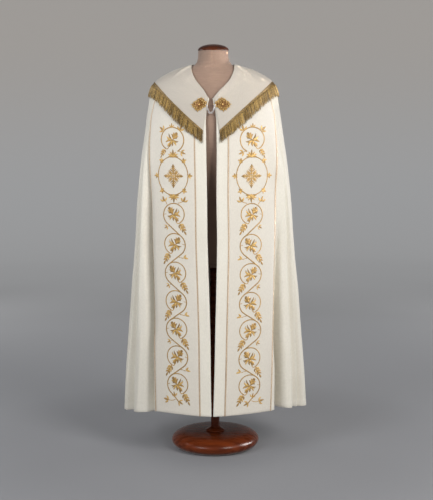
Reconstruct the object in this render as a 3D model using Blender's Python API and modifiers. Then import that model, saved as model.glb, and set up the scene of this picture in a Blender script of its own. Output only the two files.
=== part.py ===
"""A cope vestment worn by a limbless dress form on a turned wooden base.

Metres, +Z up. The garment's front looks along -Y and +X is the right of someone who faces it. The origin
is the middle of the base's underside. The cloth is a family of horizontal half sections: a table gives
each section's sizes, a second table gives the ridges and troughs of the folds, and every sewn-on piece is
made from the same surface, moved out.
"""
import math
from collections import namedtuple

import bmesh
import bpy
import numpy as np

# ------------------------------------------------------------------ driving dimensions
OBJECT_NAME = "cope_vestment"
LEFT, RIGHT = -1, 1

CLOTH = 0.0015                  # wall of the mantle and the collar
ORPHREY_CLOTH = 0.0010
BRAID_THICKNESS = 0.0014
SEAM_GAP = 0.0003               # between pieces that touch
STRIP = 0.0455                  # plain strip from the front edge to the inner braid
BRAID_WIDTH = 0.0050
ORPHREY_WIDTH = 0.2000          # between the two braids
FRONT_ZONE = STRIP + 2 * BRAID_WIDTH + ORPHREY_WIDTH     # flat cloth, from the front edge to the first fold

FRONT_HEM = 0.195
TOP_OF_SKIRT = 1.440            # above it the columns close towards the neck, below it they keep their widths
FAN_TOP = 1.300                 # the folds spread from this height down to the hem
FOLD_GROWTH = 0.8               # power by which a trough deepens towards the hem
TROUGH_AT_TOP = 2.6             # how narrow a trough is where it starts
TROUGH_AT_HEM = 1.5             # and at the hem

NECK_RADIUS = 0.0635
NECK_TOP = 1.7090
CAP_HEIGHT = 0.0270
TORSO_BOTTOM = 0.800
CAP_LIP = 0.0015                # how far the cap stands out over the neck
BASE_RADIUS = 0.190
BASE_HEIGHT = 0.068
BASE_EDGE = 0.062               # width of the base's rolled edge
BASE_MIDDLE = 0.031             # height at which the base is widest
BASE_FLAT = 0.150               # radius of the flat underside
POLE_RADIUS = 0.019
FLANGE_RADIUS = 0.041
FLANGE_HEIGHT = 0.024

FRINGE_HEAD = 0.0140            # drop of the fringe's head along the cloth
FRINGE_LENGTH = 0.0440          # free length of a strand
FRINGE_THICKNESS = 0.0016
STRAND_SHARE = 0.62             # a strand's width in the pitch of the strands
STRAND_TAPER = 0.6
STRAND_SPREAD = 0.0015          # how far a strand's tip stands out over its root
STRAND_UNEVEN = 0.003
NEAR_CORNER = 20                # columns on each side of the shoulder where the head bends most
STRANDS_FRONT = 42              # on each side, from the front corner to the shoulder
STRANDS_BACK = 52               # on each side, from the shoulder to the point of the back

CLASP_HALF_WIDTH = 0.0325
CLASP_HALF_HEIGHT = 0.0290
CLASP_TIP = 0.0140              # from the front centre to a plate's inner point
CLASP_HEIGHT = 1.4846
LINK_LENGTH = 0.0120
LINK_WIDTH = 0.0080
LINK_WIRE = 0.0017
LINKS = 11
LINK_POINTS = 8
LINK_PLAY = 0.0011
LINK_SQUARENESS = 0.7           # below 1 the link's sides run straighter
CHAIN_LAP = 0.0030              # how far the end links lie over the plates
CHAIN_FORWARD = 0.0046          # from the collar's face to the middle of the chain
CLASP_POINTS = 24
LOZENGE_POWER = 1.30
CLASP_RINGS = ((1.0, 0.0), (1.0, 0.0014), (0.90, 0.0022), (0.60, 0.0022), (0.50, 0.0034), (0.18, 0.0040))

HALVINGS = 40                   # steps of a search by halves
CONTOUR_STEPS = 181             # samples of half a section
NUDGE = 0.0005                  # step with which a surface's direction is measured
DRIFT_DEPTH = 0.130             # distance ahead of the form's axis from which the front's drift is whole

# ------------------------------------------------------------------ tables
Section = namedtuple("Section", "height half_width front back front_power")
MANTLE_SECTIONS = (
    Section(0.140, 0.397, 0.250, 0.337, 1.56),
    Section(0.195, 0.395, 0.245, 0.330, 1.56),
    Section(0.425, 0.384, 0.226, 0.300, 1.58),
    Section(0.690, 0.364, 0.203, 0.262, 1.64),
    Section(0.860, 0.346, 0.188, 0.235, 1.70),
    Section(1.080, 0.330, 0.169, 0.205, 1.80),
    Section(1.290, 0.306, 0.150, 0.177, 1.93),
    Section(1.380, 0.291, 0.142, 0.165, 2.00),
    Section(1.440, 0.282, 0.135, 0.157, 2.00),
    Section(1.500, 0.272, 0.127, 0.147, 2.00),
    Section(1.535, 0.266, 0.119, 0.138, 2.00),
    Section(1.560, 0.256, 0.112, 0.129, 2.00),
    Section(1.580, 0.239, 0.105, 0.121, 2.00),
    Section(1.600, 0.210, 0.096, 0.112, 2.00),
    Section(1.616, 0.180, 0.088, 0.104, 2.00),
    Section(1.629, 0.151, 0.081, 0.096, 2.00),
    Section(1.640, 0.118, 0.074, 0.089, 2.00),
    Section(1.650, 0.084, 0.068, 0.081, 2.00),
)

FormSection = namedtuple("FormSection", "height half_width front back")
FORM_SECTIONS = (
    FormSection(0.800, 0.150, 0.098, 0.112),
    FormSection(0.815, 0.160, 0.106, 0.122),
    FormSection(0.880, 0.168, 0.112, 0.132),
    FormSection(0.980, 0.156, 0.104, 0.116),
    FormSection(1.080, 0.146, 0.100, 0.104),
    FormSection(1.200, 0.160, 0.112, 0.112),
    FormSection(1.320, 0.183, 0.125, 0.126),
    FormSection(1.400, 0.194, 0.126, 0.134),
    FormSection(1.470, 0.200, 0.120, 0.136),
    FormSection(1.530, 0.207, 0.110, 0.128),
    FormSection(1.560, 0.212, 0.103, 0.121),
    FormSection(1.580, 0.209, 0.097, 0.114),
    FormSection(1.600, 0.196, 0.089, 0.106),
    FormSection(1.616, 0.176, 0.082, 0.099),
    FormSection(1.629, 0.142, 0.074, 0.089),
    FormSection(1.640, 0.105, 0.068, 0.082),
    FormSection(1.650, 0.079, 0.0655, 0.074),
    FormSection(1.662, 0.069, 0.0640, 0.068),
    FormSection(1.680, 0.0645, 0.0637, 0.0645),
    FormSection(NECK_TOP, NECK_RADIUS, NECK_RADIUS, NECK_RADIUS),
)

Gap = namedtuple("Gap", "height half_gap")
FRONT_GAP = (
    Gap(0.180, 0.0040), Gap(0.350, 0.0080), Gap(0.520, 0.0105), Gap(0.720, 0.0155), Gap(0.930, 0.0205),
    Gap(1.090, 0.0200), Gap(1.360, 0.0220), Gap(1.440, 0.0205), Gap(1.475, 0.0145), Gap(1.512, 0.0075),
    Gap(1.650, 0.0075),
)

Drift = namedtuple("Drift", "height sideways")           # how far the opening is drawn aside at the front
FRONT_DRIFT = (
    Drift(0.180, -0.0025), Drift(0.520, 0.0), Drift(0.900, -0.0010), Drift(1.090, -0.0030),
    Drift(1.360, -0.0045), Drift(1.500, -0.0065), Drift(1.515, -0.0065), Drift(1.537, -0.0042),
    Drift(1.560, -0.0010), Drift(1.650, -0.0010),
)

NeckPoint = namedtuple("NeckPoint", "share height")      # share of the half section, from front to back
NECKLINE = (
    NeckPoint(0.000, 1.500), NeckPoint(0.018, 1.5135), NeckPoint(0.045, 1.5380), NeckPoint(0.078, 1.5590),
    NeckPoint(0.118, 1.5820), NeckPoint(0.160, 1.6045), NeckPoint(0.215, 1.6260), NeckPoint(0.275, 1.6390),
    NeckPoint(0.345, 1.6460), NeckPoint(0.450, 1.6490),
    NeckPoint(0.600, 1.6485), NeckPoint(0.800, 1.646), NeckPoint(1.000, 1.644),
)

# A fold runs from one ridge to the next. The shares run from the orphrey (0) to the middle of the back (1),
# where the folds start to fan out and at the hem. `depth` is the trough's at the hem, `top` its start.
Fold = namedtuple("Fold", "trough_high trough_hem ridge_high ridge_hem depth top")
FOLDS = {
    LEFT: (
        Fold(0.010, 0.022, 0.029, 0.145, 0.030, 1.480),
        Fold(0.060, 0.215, 0.110, 0.275, 0.046, 1.330),
        Fold(0.165, 0.335, 0.225, 0.395, 0.050, 1.450),
        Fold(0.290, 0.455, 0.355, 0.515, 0.056, 1.380),
        Fold(0.425, 0.580, 0.495, 0.640, 0.048, 1.420),
        Fold(0.570, 0.705, 0.645, 0.765, 0.060, 1.350),
        Fold(0.725, 0.825, 0.805, 0.885, 0.050, 1.400),
        Fold(0.900, 0.945, 1.000, 1.000, 0.055, 1.300),
    ),
    RIGHT: (
        Fold(0.012, 0.075, 0.040, 0.125, 0.046, 1.000),
        Fold(0.065, 0.175, 0.130, 0.275, 0.042, 1.470),
        Fold(0.180, 0.330, 0.240, 0.390, 0.054, 1.400),
        Fold(0.285, 0.440, 0.350, 0.500, 0.050, 1.440),
        Fold(0.420, 0.565, 0.490, 0.630, 0.060, 1.360),
        Fold(0.565, 0.695, 0.640, 0.755, 0.050, 1.410),
        Fold(0.720, 0.820, 0.800, 0.880, 0.058, 1.330),
        Fold(0.895, 0.942, 1.000, 1.000, 0.048, 1.380),
    ),
}
SIDE_SEAM = 4.35                # station of the seam, on the near slope of the fourth fold
HALF_SEAM = 0.00040             # from the seam's line to a panel's edge

HemPoint = namedtuple("HemPoint", "station left right")
HEM = (
    HemPoint(0.0, 0.195, 0.195), HemPoint(1.0, 0.196, 0.200), HemPoint(2.0, 0.174, 0.197),
    HemPoint(3.0, 0.162, 0.184), HemPoint(6.0, 0.163, 0.168), HemPoint(9.0, 0.165, 0.165),
)

Corner = namedtuple("Corner", "from_centre height")
FRONT_CORNER = Corner(0.034, 1.384)
SHOULDER_CORNER = Corner(0.245, 1.577)
BACK_POINT = Corner(0.000, 1.240)
COLLAR_EDGE = (                 # the collar's front edge, below the neckline's point
    Corner(0.0120, 1.512), Corner(0.0165, 1.475), Corner(0.0240, 1.438), FRONT_CORNER,
)
COLLAR_OVER = 0.0040            # how far the collar's neckline stands over the mantle's
NECK_STEPS = 4                  # steps in which the mantle's neckline is found under the collar's
COLLAR_RISE_AT_NECK = 0.0024    # the collar's middle over the mantle's, at the neck
COLLAR_RISE_AT_EDGE = 0.0056    # and at its edge, where it lies over the orphrey

# places of the rows and columns of the grids
MANTLE_DROPS = (0.0, 0.010, 0.022, 0.036, 0.052, 0.072, 0.100, 0.145, 0.220, 0.330, 0.460, 0.620, 0.800, 1.0)
ORPHREY_FIRST_ROW = 3
FOLD_PHASES = (0.0, 0.18, 0.35, 0.5, 0.65, 0.82)
ORPHREY_COLUMNS = 4
COLLAR_DROPS = (0.0, 0.03, 0.07, 0.13, 0.20, 0.29, 0.40, 0.53, 0.68, 0.84, 1.0)
COLLAR_COLUMNS_FRONT = 10
COLLAR_COLUMNS_BACK = 12
FORM_COLUMNS = 32

Finish = namedtuple("Finish", "colour roughness metallic")
FINISHES = {
    "cope_fabric": Finish((0.80, 0.77, 0.68), 0.62, 0.0),
    "orphrey_fabric": Finish((0.74, 0.70, 0.64), 0.50, 0.0),
    "gold_braid": Finish((0.47, 0.30, 0.09), 0.45, 0.3),
    "gold_fringe": Finish((0.30, 0.19, 0.06), 0.55, 0.2),
    "clasp_metal": Finish((0.42, 0.24, 0.07), 0.35, 1.0),
    "chain_metal": Finish((0.75, 0.75, 0.77), 0.25, 1.0),
    "form_linen": Finish((0.37, 0.25, 0.19), 0.80, 0.0),
    "dark_wood": Finish((0.09, 0.02, 0.010), 0.22, 0.0),
}


# ------------------------------------------------------------------ tables to curves
def read_table(rows, key, column, at):
    """Value of a table's column at each key, on a cubic that passes through the rows."""
    keys = np.array([getattr(row, key) for row in rows])
    values = np.array([getattr(row, column) for row in rows])
    slopes = np.gradient(values, keys)
    at = np.clip(at, keys[0], keys[-1])
    low = np.clip(np.searchsorted(keys, at, side="right") - 1, 0, len(keys) - 2)
    span = keys[low + 1] - keys[low]
    t = (at - keys[low]) / span
    start = (1 + 2 * t) * (1 - t) ** 2 * values[low] + t * (1 - t) ** 2 * span * slopes[low]
    end = t * t * (3 - 2 * t) * values[low + 1] - t * t * (1 - t) * span * slopes[low + 1]
    return start + end


def half_contour(height):
    """Half of the horizontal section at each height: x, y and the length run from the front centre line."""
    width, front, back, power = (
        read_table(MANTLE_SECTIONS, "height", column, height)[:, None]
        for column in ("half_width", "front", "back", "front_power")
    )
    turn = np.linspace(0.0, math.pi, CONTOUR_STEPS)
    sine = np.abs(np.sin(turn))
    cosine = np.abs(np.cos(turn))
    ahead = turn < math.pi / 2
    x = width * np.where(ahead, sine ** (2 / power), sine)
    y = np.where(ahead, -front * cosine ** (2 / power), back * cosine)
    steps = np.hypot(np.diff(x, axis=1), np.diff(y, axis=1))
    length = np.concatenate([np.zeros((len(x), 1)), np.cumsum(steps, axis=1)], axis=1)
    return x, y, length


def half_length(height):
    """Length of half a section, from the front centre line to the back one."""
    return half_contour(height)[2][:, -1]


def on_section(side, arc, height, inset):
    """Points at a length `arc` round the section from the front centre line, moved in by `inset`."""
    x, y, length = half_contour(height)
    row = np.arange(len(arc))
    low = np.clip((length < arc[:, None]).sum(axis=1) - 1, 0, CONTOUR_STEPS - 2)
    step = length[row, low + 1] - length[row, low]
    run_x = (x[row, low + 1] - x[row, low]) / step
    run_y = (y[row, low + 1] - y[row, low]) / step
    past = arc - length[row, low]
    px = x[row, low] + run_x * past - run_y * inset
    py = y[row, low] + run_y * past + run_x * inset
    drift = read_table(FRONT_DRIFT, "height", "sideways", height) * np.clip(-py / DRIFT_DEPTH, 0.0, 1.0) ** 2
    return np.stack([side * px + drift, py, height], axis=1)


# ------------------------------------------------------------------ the mantle's surface
def station_shares(side, station):
    """A station's share of the folded run where the folds start to fan, and at the hem."""
    marks, high, hem = [1.0], [0.0], [0.0]
    for number, fold in enumerate(FOLDS[side]):
        marks += [number + 1.5, number + 2.0]
        high += [fold.trough_high, fold.ridge_high]
        hem += [fold.trough_hem, fold.ridge_hem]
    return np.interp(station, marks, high), np.interp(station, marks, hem)


def mantle_arc(side, station, height):
    """Length round the section to a station: 0 is the front edge, 1 the end of the flat zone."""
    half_gap = read_table(FRONT_GAP, "height", "half_gap", height)
    lower = np.minimum(height, TOP_OF_SKIRT)
    lower_gap = read_table(FRONT_GAP, "height", "half_gap", lower)
    run = half_length(lower) - lower_gap
    high, hem = station_shares(side, station)
    spread = np.clip((FAN_TOP - height) / (FAN_TOP - FRONT_HEM), 0.0, 1.0)
    share = high + (hem - high) * spread
    along = np.where(station < 1.0, FRONT_ZONE * station, FRONT_ZONE + share * (run - FRONT_ZONE))
    return half_gap + along / run * (half_length(height) - half_gap)


def fold_inset(side, station, height):
    """How far the folds draw the cloth in: each trough is a power of a half sine between two ridges."""
    folds = FOLDS[side]
    number = np.clip(np.floor(station - 1.0).astype(int), 0, len(folds) - 1)
    phase = np.clip(station - 1.0 - number, 0.0, 1.0)
    depth = np.array([fold.depth for fold in folds])[number]
    top = np.array([fold.top for fold in folds])[number]
    fallen = np.clip((top - height) / (top - FRONT_HEM), 0.0, 1.05)
    power = TROUGH_AT_TOP + (TROUGH_AT_HEM - TROUGH_AT_TOP) * np.minimum(fallen, 1.0)
    return depth * fallen ** FOLD_GROWTH * np.sin(math.pi * phase) ** (2 * power)


def mantle_surface(side, station, drop):
    """The mantle's middle: station runs round it, drop from its neckline (0) to its hem (1)."""
    top = np.full(len(station), TOP_OF_SKIRT)
    for _ in range(NECK_STEPS):
        top = collar_top_height(collar_place(mantle_arc(side, station, top), top)) - COLLAR_OVER
    foot = read_table(HEM, "station", "left" if side == LEFT else "right", station)
    height = top + (foot - top) * drop
    return on_section(side, mantle_arc(side, station, height), height, fold_inset(side, station, height))


def moved_out(surface, side, across, down, distance):
    """Points of one side's surface, moved along its outward direction."""
    along = surface(across + NUDGE, down) - surface(across - NUDGE, down)
    fall = surface(across, down + NUDGE) - surface(across, down - NUDGE)
    outward = np.cross(fall, along)
    outward /= np.linalg.norm(outward, axis=1)[:, None]
    return surface(across, down) + side * outward * np.asarray(distance)[..., None]


Column = namedtuple("Column", "side station shift")      # shift: metres along the cloth from its station


def mantle_grid(columns, drops, rise=0.0):
    """Grid of points of the mantle's surface, one list of rows for each column, moved out by `rise`."""
    grid = []
    for column in columns:
        def surface(across, down, side=column.side):
            return mantle_surface(side, across, down)
        across = np.full(len(drops), column.station)
        down = np.array(drops)
        if column.shift:
            speed = np.linalg.norm(surface(across + NUDGE, down) - surface(across - NUDGE, down), axis=1)
            across = across + column.shift * 2 * NUDGE / speed
        grid.append(moved_out(surface, column.side, across, down, rise))
    return np.array(grid)


# ------------------------------------------------------------------ the collar's surface
EDGE_SAMPLES = 80               # on each side of the shoulder corner
EDGE_MARKS = {}                 # the collar's edge, filled when it is first read


def collar_share(place, height):
    """Share of the half section at a collar's place: 0 is its front edge and 1 the middle of the back."""
    edge = read_table(tuple(reversed(COLLAR_EDGE)), "height", "from_centre", height)
    front = edge / half_length(height)
    return front + place * (1.0 - front)


def collar_place(arc, height):
    """Place over the collar of a length round the section."""
    front = collar_share(np.zeros(len(height)), height)
    return np.clip((arc / half_length(height) - front) / (1.0 - front), 0.0, 1.0)


def collar_point(side, place, height):
    """A point of the surface under the collar."""
    arc = collar_share(place, height) * half_length(height)
    return on_section(side, arc, height, np.zeros(len(height)))


def measured_edge(place):
    """Height at which a column of the collar meets the straight edge between two of its corners."""
    low = np.full(len(place), FRONT_HEM)
    high = collar_top_height(place)
    front_run = SHOULDER_CORNER.from_centre - FRONT_CORNER.from_centre
    for _ in range(HALVINGS):
        middle = (low + high) / 2
        point = collar_point(RIGHT, place, middle)
        reach = (point[:, 0] - FRONT_CORNER.from_centre) / front_run
        front = FRONT_CORNER.height + reach * (SHOULDER_CORNER.height - FRONT_CORNER.height)
        reach = point[:, 0] / SHOULDER_CORNER.from_centre
        back = BACK_POINT.height + reach * (SHOULDER_CORNER.height - BACK_POINT.height)
        above = middle > np.where(point[:, 1] < 0, front, back)
        high = np.where(above, middle, high)
        low = np.where(above, low, middle)
    return (low + high) / 2


def collar_edge_height(place):
    """Height of the collar's outer edge, read between places at which it was worked out."""
    if not EDGE_MARKS:
        corner = shoulder_place()
        front = np.linspace(0.0, corner, EDGE_SAMPLES)
        marks = np.concatenate([front, np.linspace(corner, 1.0, EDGE_SAMPLES)[1:]])
        EDGE_MARKS["place"] = marks
        EDGE_MARKS["height"] = measured_edge(marks)
    return np.interp(place, EDGE_MARKS["place"], EDGE_MARKS["height"])


def collar_top_height(place):
    """Height of the neckline over a column of the collar."""
    share = collar_share(place, np.full(len(place), COLLAR_EDGE[0].height))
    return read_table(NECKLINE, "share", "height", share)


def collar_surface(side, place, drop):
    """The surface under the collar: drop runs from the neckline (0) to the edge (1) and past it."""
    top = collar_top_height(place)
    height = top + (collar_edge_height(place) - top) * drop
    return collar_point(side, place, height)


def collar_points(side, place, drop, rise):
    """Points over the collar's surface, moved out by `rise`."""
    def surface(across, down):
        return collar_surface(side, np.clip(across, 0.0, 1.0), down)
    return moved_out(surface, side, place, drop, rise)


def shoulder_place():
    """The collar's place at which its shoulder corner lies: the side of the section there."""
    height = np.array([SHOULDER_CORNER.height])
    x, y, length = half_contour(height)
    share = length[0, CONTOUR_STEPS // 2] / length[0, -1]
    front = collar_share(np.zeros(1), height)[0]
    return (share - front) / (1.0 - front)


# ------------------------------------------------------------------ meshes
def add_object(name, mesh, finish, collection):
    """Link a new object with its own material."""
    look = FINISHES[finish]
    material = bpy.data.materials.new(name)
    material.use_nodes = True
    shader = material.node_tree.nodes["Principled BSDF"]
    shader.inputs["Base Color"].default_value = (*look.colour, 1.0)
    shader.inputs["Roughness"].default_value = look.roughness
    shader.inputs["Metallic"].default_value = look.metallic
    material.diffuse_color = (*look.colour, 1.0)
    mesh.materials.append(material)
    thing = bpy.data.objects.new(name, mesh)
    collection.objects.link(thing)
    return thing


def grid_mesh(name, grid, ring=False):
    """Quads between the columns of a grid of points; a ring joins its last column to its first."""
    columns, rows = grid.shape[:2]
    index = np.arange(columns * rows).reshape(columns, rows)
    if ring:
        index = np.concatenate([index, index[:1]])
    quads = np.stack([index[:-1, :-1], index[:-1, 1:], index[1:, 1:], index[1:, :-1]], axis=-1)
    mesh = bpy.data.meshes.new(name)
    mesh.from_pydata(grid.reshape(-1, 3).tolist(), [], quads.reshape(-1, 4).tolist())
    mesh.shade_smooth()
    return mesh


def add_cloth(name, grid, thickness, finish, collection):
    """A wall of cloth: a grid for its middle, thickened to both sides."""
    cloth = add_object(name, grid_mesh(name, grid), finish, collection)
    wall = cloth.modifiers.new("wall", "SOLIDIFY")
    wall.thickness = thickness
    wall.offset = 0.0
    wall.use_even_offset = True
    return cloth


def add_turned(name, profile, steps, finish, collection):
    """A turned piece: a profile of (radius, height) points, top to bottom, with a Screw modifier."""
    mesh = bpy.data.meshes.new(name)
    points = [(radius, 0.0, height) for radius, height in profile]
    mesh.from_pydata(points, [(i, i + 1) for i in range(len(points) - 1)], [])
    turned = add_object(name, mesh, finish, collection)
    screw = turned.modifiers.new("turn", "SCREW")
    screw.steps = steps
    screw.render_steps = steps
    screw.use_merge_vertices = True
    screw.merge_threshold = 0.0001
    screw.use_smooth_shade = True
    return turned


def arc_profile(centre, radii, start, end, count):
    """Points of (radius, height) on an elliptical arc, angles in degrees from straight out."""
    angles = np.radians(np.linspace(start, end, count))
    return [
        (centre[0] + radii[0] * math.cos(angle), centre[1] + radii[1] * math.sin(angle)) for angle in angles
    ]


# ------------------------------------------------------------------ the dress form
def build_base(collection):
    """A round base with a rolled edge and a flat underside."""
    crown = 0.0005
    top = [(0.0, BASE_HEIGHT), (BASE_RADIUS / 2, BASE_HEIGHT - crown)]
    reach = (BASE_EDGE, BASE_HEIGHT - BASE_MIDDLE - 5 * crown)
    rim = arc_profile((BASE_RADIUS - BASE_EDGE, BASE_MIDDLE), reach, 85, -60, 7)
    foot = [(BASE_FLAT, 0.0), (0.0, 0.0)]
    add_turned("base", top + rim + foot, 36, "dark_wood", collection)


def build_pole(collection):
    """A turned pole with a flange on the base, up to the torso's underside."""
    foot = BASE_HEIGHT + SEAM_GAP
    top = TORSO_BOTTOM - SEAM_GAP
    sweep = FLANGE_RADIUS - POLE_RADIUS
    profile = [
        (0.0, top), (POLE_RADIUS, top), (POLE_RADIUS, foot + FLANGE_HEIGHT),
        (POLE_RADIUS + 0.2 * sweep, foot + 0.65 * FLANGE_HEIGHT),
        (FLANGE_RADIUS - 0.2 * sweep, foot + 0.4 * FLANGE_HEIGHT),
        (FLANGE_RADIUS, foot + 0.15 * FLANGE_HEIGHT), (FLANGE_RADIUS, foot), (0.0, foot),
    ]
    add_turned("pole", profile, 20, "dark_wood", collection)


def form_ring(section):
    """A ring of points round the form at one height."""
    turn = np.arange(FORM_COLUMNS) * 2 * math.pi / FORM_COLUMNS
    y = np.where(np.cos(turn) > 0, -section.front * np.cos(turn), -section.back * np.cos(turn))
    return np.stack([section.half_width * np.sin(turn), y, np.full(FORM_COLUMNS, section.height)], axis=1)


def build_torso(collection):
    """The limbless torso and neck, one closed loft of the form's sections."""
    rings = np.array([form_ring(section) for section in reversed(FORM_SECTIONS)])
    mesh = grid_mesh("torso", np.transpose(rings, (1, 0, 2)), ring=True)
    body = bmesh.new()
    body.from_mesh(mesh)
    bmesh.ops.holes_fill(body, edges=[edge for edge in body.edges if edge.is_boundary])
    bmesh.ops.recalc_face_normals(body, faces=body.faces)
    body.to_mesh(mesh)
    body.free()
    add_object("torso", mesh, "form_linen", collection)


def build_neck_cap(collection):
    """The turned wooden cap on the neck."""
    foot = NECK_TOP + SEAM_GAP
    rim = 0.006
    dome = arc_profile((0.0, foot + rim), (NECK_RADIUS + CAP_LIP, CAP_HEIGHT - rim), 90, 0, 7)
    profile = dome + [(NECK_RADIUS + CAP_LIP / 2, foot + CAP_LIP), (NECK_RADIUS, foot), (0.0, foot)]
    add_turned("neck_cap", profile, 28, "dark_wood", collection)


# ------------------------------------------------------------------ the garment
def fold_stations(first, last):
    """Stations of the folded run between two stations, the same phases in each fold."""
    stations = [1.0 + number + phase for number in range(8) for phase in FOLD_PHASES] + [9.0]
    return [station for station in stations if first <= station <= last]


def zone_stations():
    """Stations of the flat zone: the edges of the strip, of the braids and of the orphrey."""
    inner = (0.0, STRIP / 2, STRIP)
    orphrey = STRIP + BRAID_WIDTH + ORPHREY_WIDTH * np.linspace(0, 1, ORPHREY_COLUMNS + 1)
    return [place / FRONT_ZONE for place in (*inner, *orphrey)]


def build_mantle(collection):
    """The mantle in three panels, with a seam at each side."""
    for side, name in ((LEFT, "mantle_front_left"), (RIGHT, "mantle_front_right")):
        columns = [Column(side, station, 0.0) for station in zone_stations() + fold_stations(1.0, SIDE_SEAM)]
        columns[-1] = columns[-1]._replace(shift=-HALF_SEAM)
        grid = mantle_grid(columns, MANTLE_DROPS)
        add_cloth(name, grid if side == RIGHT else grid[::-1], CLOTH, "cope_fabric", collection)
    left = [Column(LEFT, station, 0.0) for station in fold_stations(SIDE_SEAM, 9.0)]
    right = [Column(RIGHT, station, 0.0) for station in fold_stations(SIDE_SEAM, 9.0)]
    left[0] = left[0]._replace(shift=HALF_SEAM)
    right[0] = right[0]._replace(shift=HALF_SEAM)
    columns = right + left[-2::-1]
    add_cloth("mantle_back", mantle_grid(columns, MANTLE_DROPS), CLOTH, "cope_fabric", collection)


def build_orphreys(collection):
    """On each front an orphrey between two gold braids, laid on the mantle's own points."""
    drops = MANTLE_DROPS[ORPHREY_FIRST_ROW:]
    lift = CLOTH / 2 + SEAM_GAP
    for side, word in ((LEFT, "left"), (RIGHT, "right")):
        stations = zone_stations()[3:]
        columns = [Column(side, station, 0.0) for station in stations]
        columns[0] = columns[0]._replace(shift=SEAM_GAP)
        columns[-1] = columns[-1]._replace(shift=-SEAM_GAP)
        grid = mantle_grid(columns, drops, lift + ORPHREY_CLOTH / 2)
        add_cloth(f"orphrey_{word}", grid[::side], ORPHREY_CLOTH, "orphrey_fabric", collection)
        for place, start in (("inner", STRIP), ("outer", FRONT_ZONE - BRAID_WIDTH)):
            ends = (start / FRONT_ZONE, (start + BRAID_WIDTH) / FRONT_ZONE)
            columns = [Column(side, station, 0.0) for station in ends]
            grid = mantle_grid(columns, drops, lift + BRAID_THICKNESS / 2)
            add_cloth(f"braid_{place}_{word}", grid[::side], BRAID_THICKNESS, "gold_braid", collection)


def collar_places():
    """Places of the collar's columns, with one on the shoulder corner."""
    corner = shoulder_place()
    front = np.linspace(0.0, corner, COLLAR_COLUMNS_FRONT + 1)
    back = np.linspace(corner, 1.0, COLLAR_COLUMNS_BACK + 1)
    return np.concatenate([front, back[1:]])


def build_collar(collection):
    """The collar: one piece round the neck, with a corner at each shoulder and a point at the back."""
    drops = np.array(COLLAR_DROPS)
    rise = COLLAR_RISE_AT_NECK + (COLLAR_RISE_AT_EDGE - COLLAR_RISE_AT_NECK) * np.minimum(drops * 3, 1.0)
    halves = {}
    for side in (LEFT, RIGHT):
        halves[side] = np.array([
            collar_points(side, np.full(len(drops), place), drops, rise) for place in collar_places()
        ])
    middle = halves[RIGHT][-1].copy()
    middle[:, 0] = 0.0
    grid = np.concatenate([halves[RIGHT][:-1], middle[None], halves[LEFT][-2::-1]])
    add_cloth("collar", grid, CLOTH, "cope_fabric", collection)


def fringe_point(side, place, below, rise):
    """A point at a drop below the collar's edge, moved out from the surface under it."""
    def surface(across, down):
        across = np.clip(across, 0.0, 1.0)
        return collar_point(side, across, collar_edge_height(across) - down)
    return moved_out(surface, side, place, below, rise)


def fringe_places(corner):
    """Places of both sides of every strand, from the front corner over the shoulder to the back."""
    pairs = []
    for start, stop, count in ((0.0, corner, STRANDS_FRONT), (corner, 1.0, STRANDS_BACK)):
        pitch = (stop - start) / count
        first = start + pitch * (np.arange(count) + (1 - STRAND_SHARE) / 2)
        pairs.append(np.stack([first, first + pitch * STRAND_SHARE], axis=1).ravel())
    return np.concatenate(pairs)


def fringe_faces(groups, width):
    """Faces of the fringe's head and strands. Each column has four corners: outer and inner, top and foot."""
    def corner(column, number):
        return 4 * column + number
    top_out, top_in, foot_out, foot_in = range(4)
    faces = []
    for first, last in zip(groups[:-1], groups[1:]):
        columns = list(range(first, last + 1))
        outer = [corner(first, top_out)] + [corner(column, foot_out) for column in columns]
        inner = [corner(last, top_in)] + [corner(column, foot_in) for column in reversed(columns)]
        faces.append(outer + [corner(last, top_out)])
        faces.append(inner + [corner(first, top_in)])
        faces.append([corner(first, top_in), corner(first, top_out),
                      corner(last, top_out), corner(last, top_in)])
    for column in range(1, width - 1, 2):
        faces.append([corner(column, foot_out), corner(column, foot_in),
                      corner(column + 1, foot_in), corner(column + 1, foot_out)])
    tips = 4 * width
    for column in range(0, width, 2):
        root = [corner(column, foot_out), corner(column, foot_in),
                corner(column + 1, foot_in), corner(column + 1, foot_out)]
        tip = [tips + 2 * column, tips + 2 * column + 1, tips + 2 * column + 3, tips + 2 * column + 2]
        for number in range(4):
            follow = (number + 1) % 4
            faces.append([root[number], root[follow], tip[follow], tip[number]])
        faces.append(tip)
    for column in (0, width - 1):
        faces.append([corner(column, top_out), corner(column, foot_out),
                      corner(column, foot_in), corner(column, top_in)])
    return faces


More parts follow.
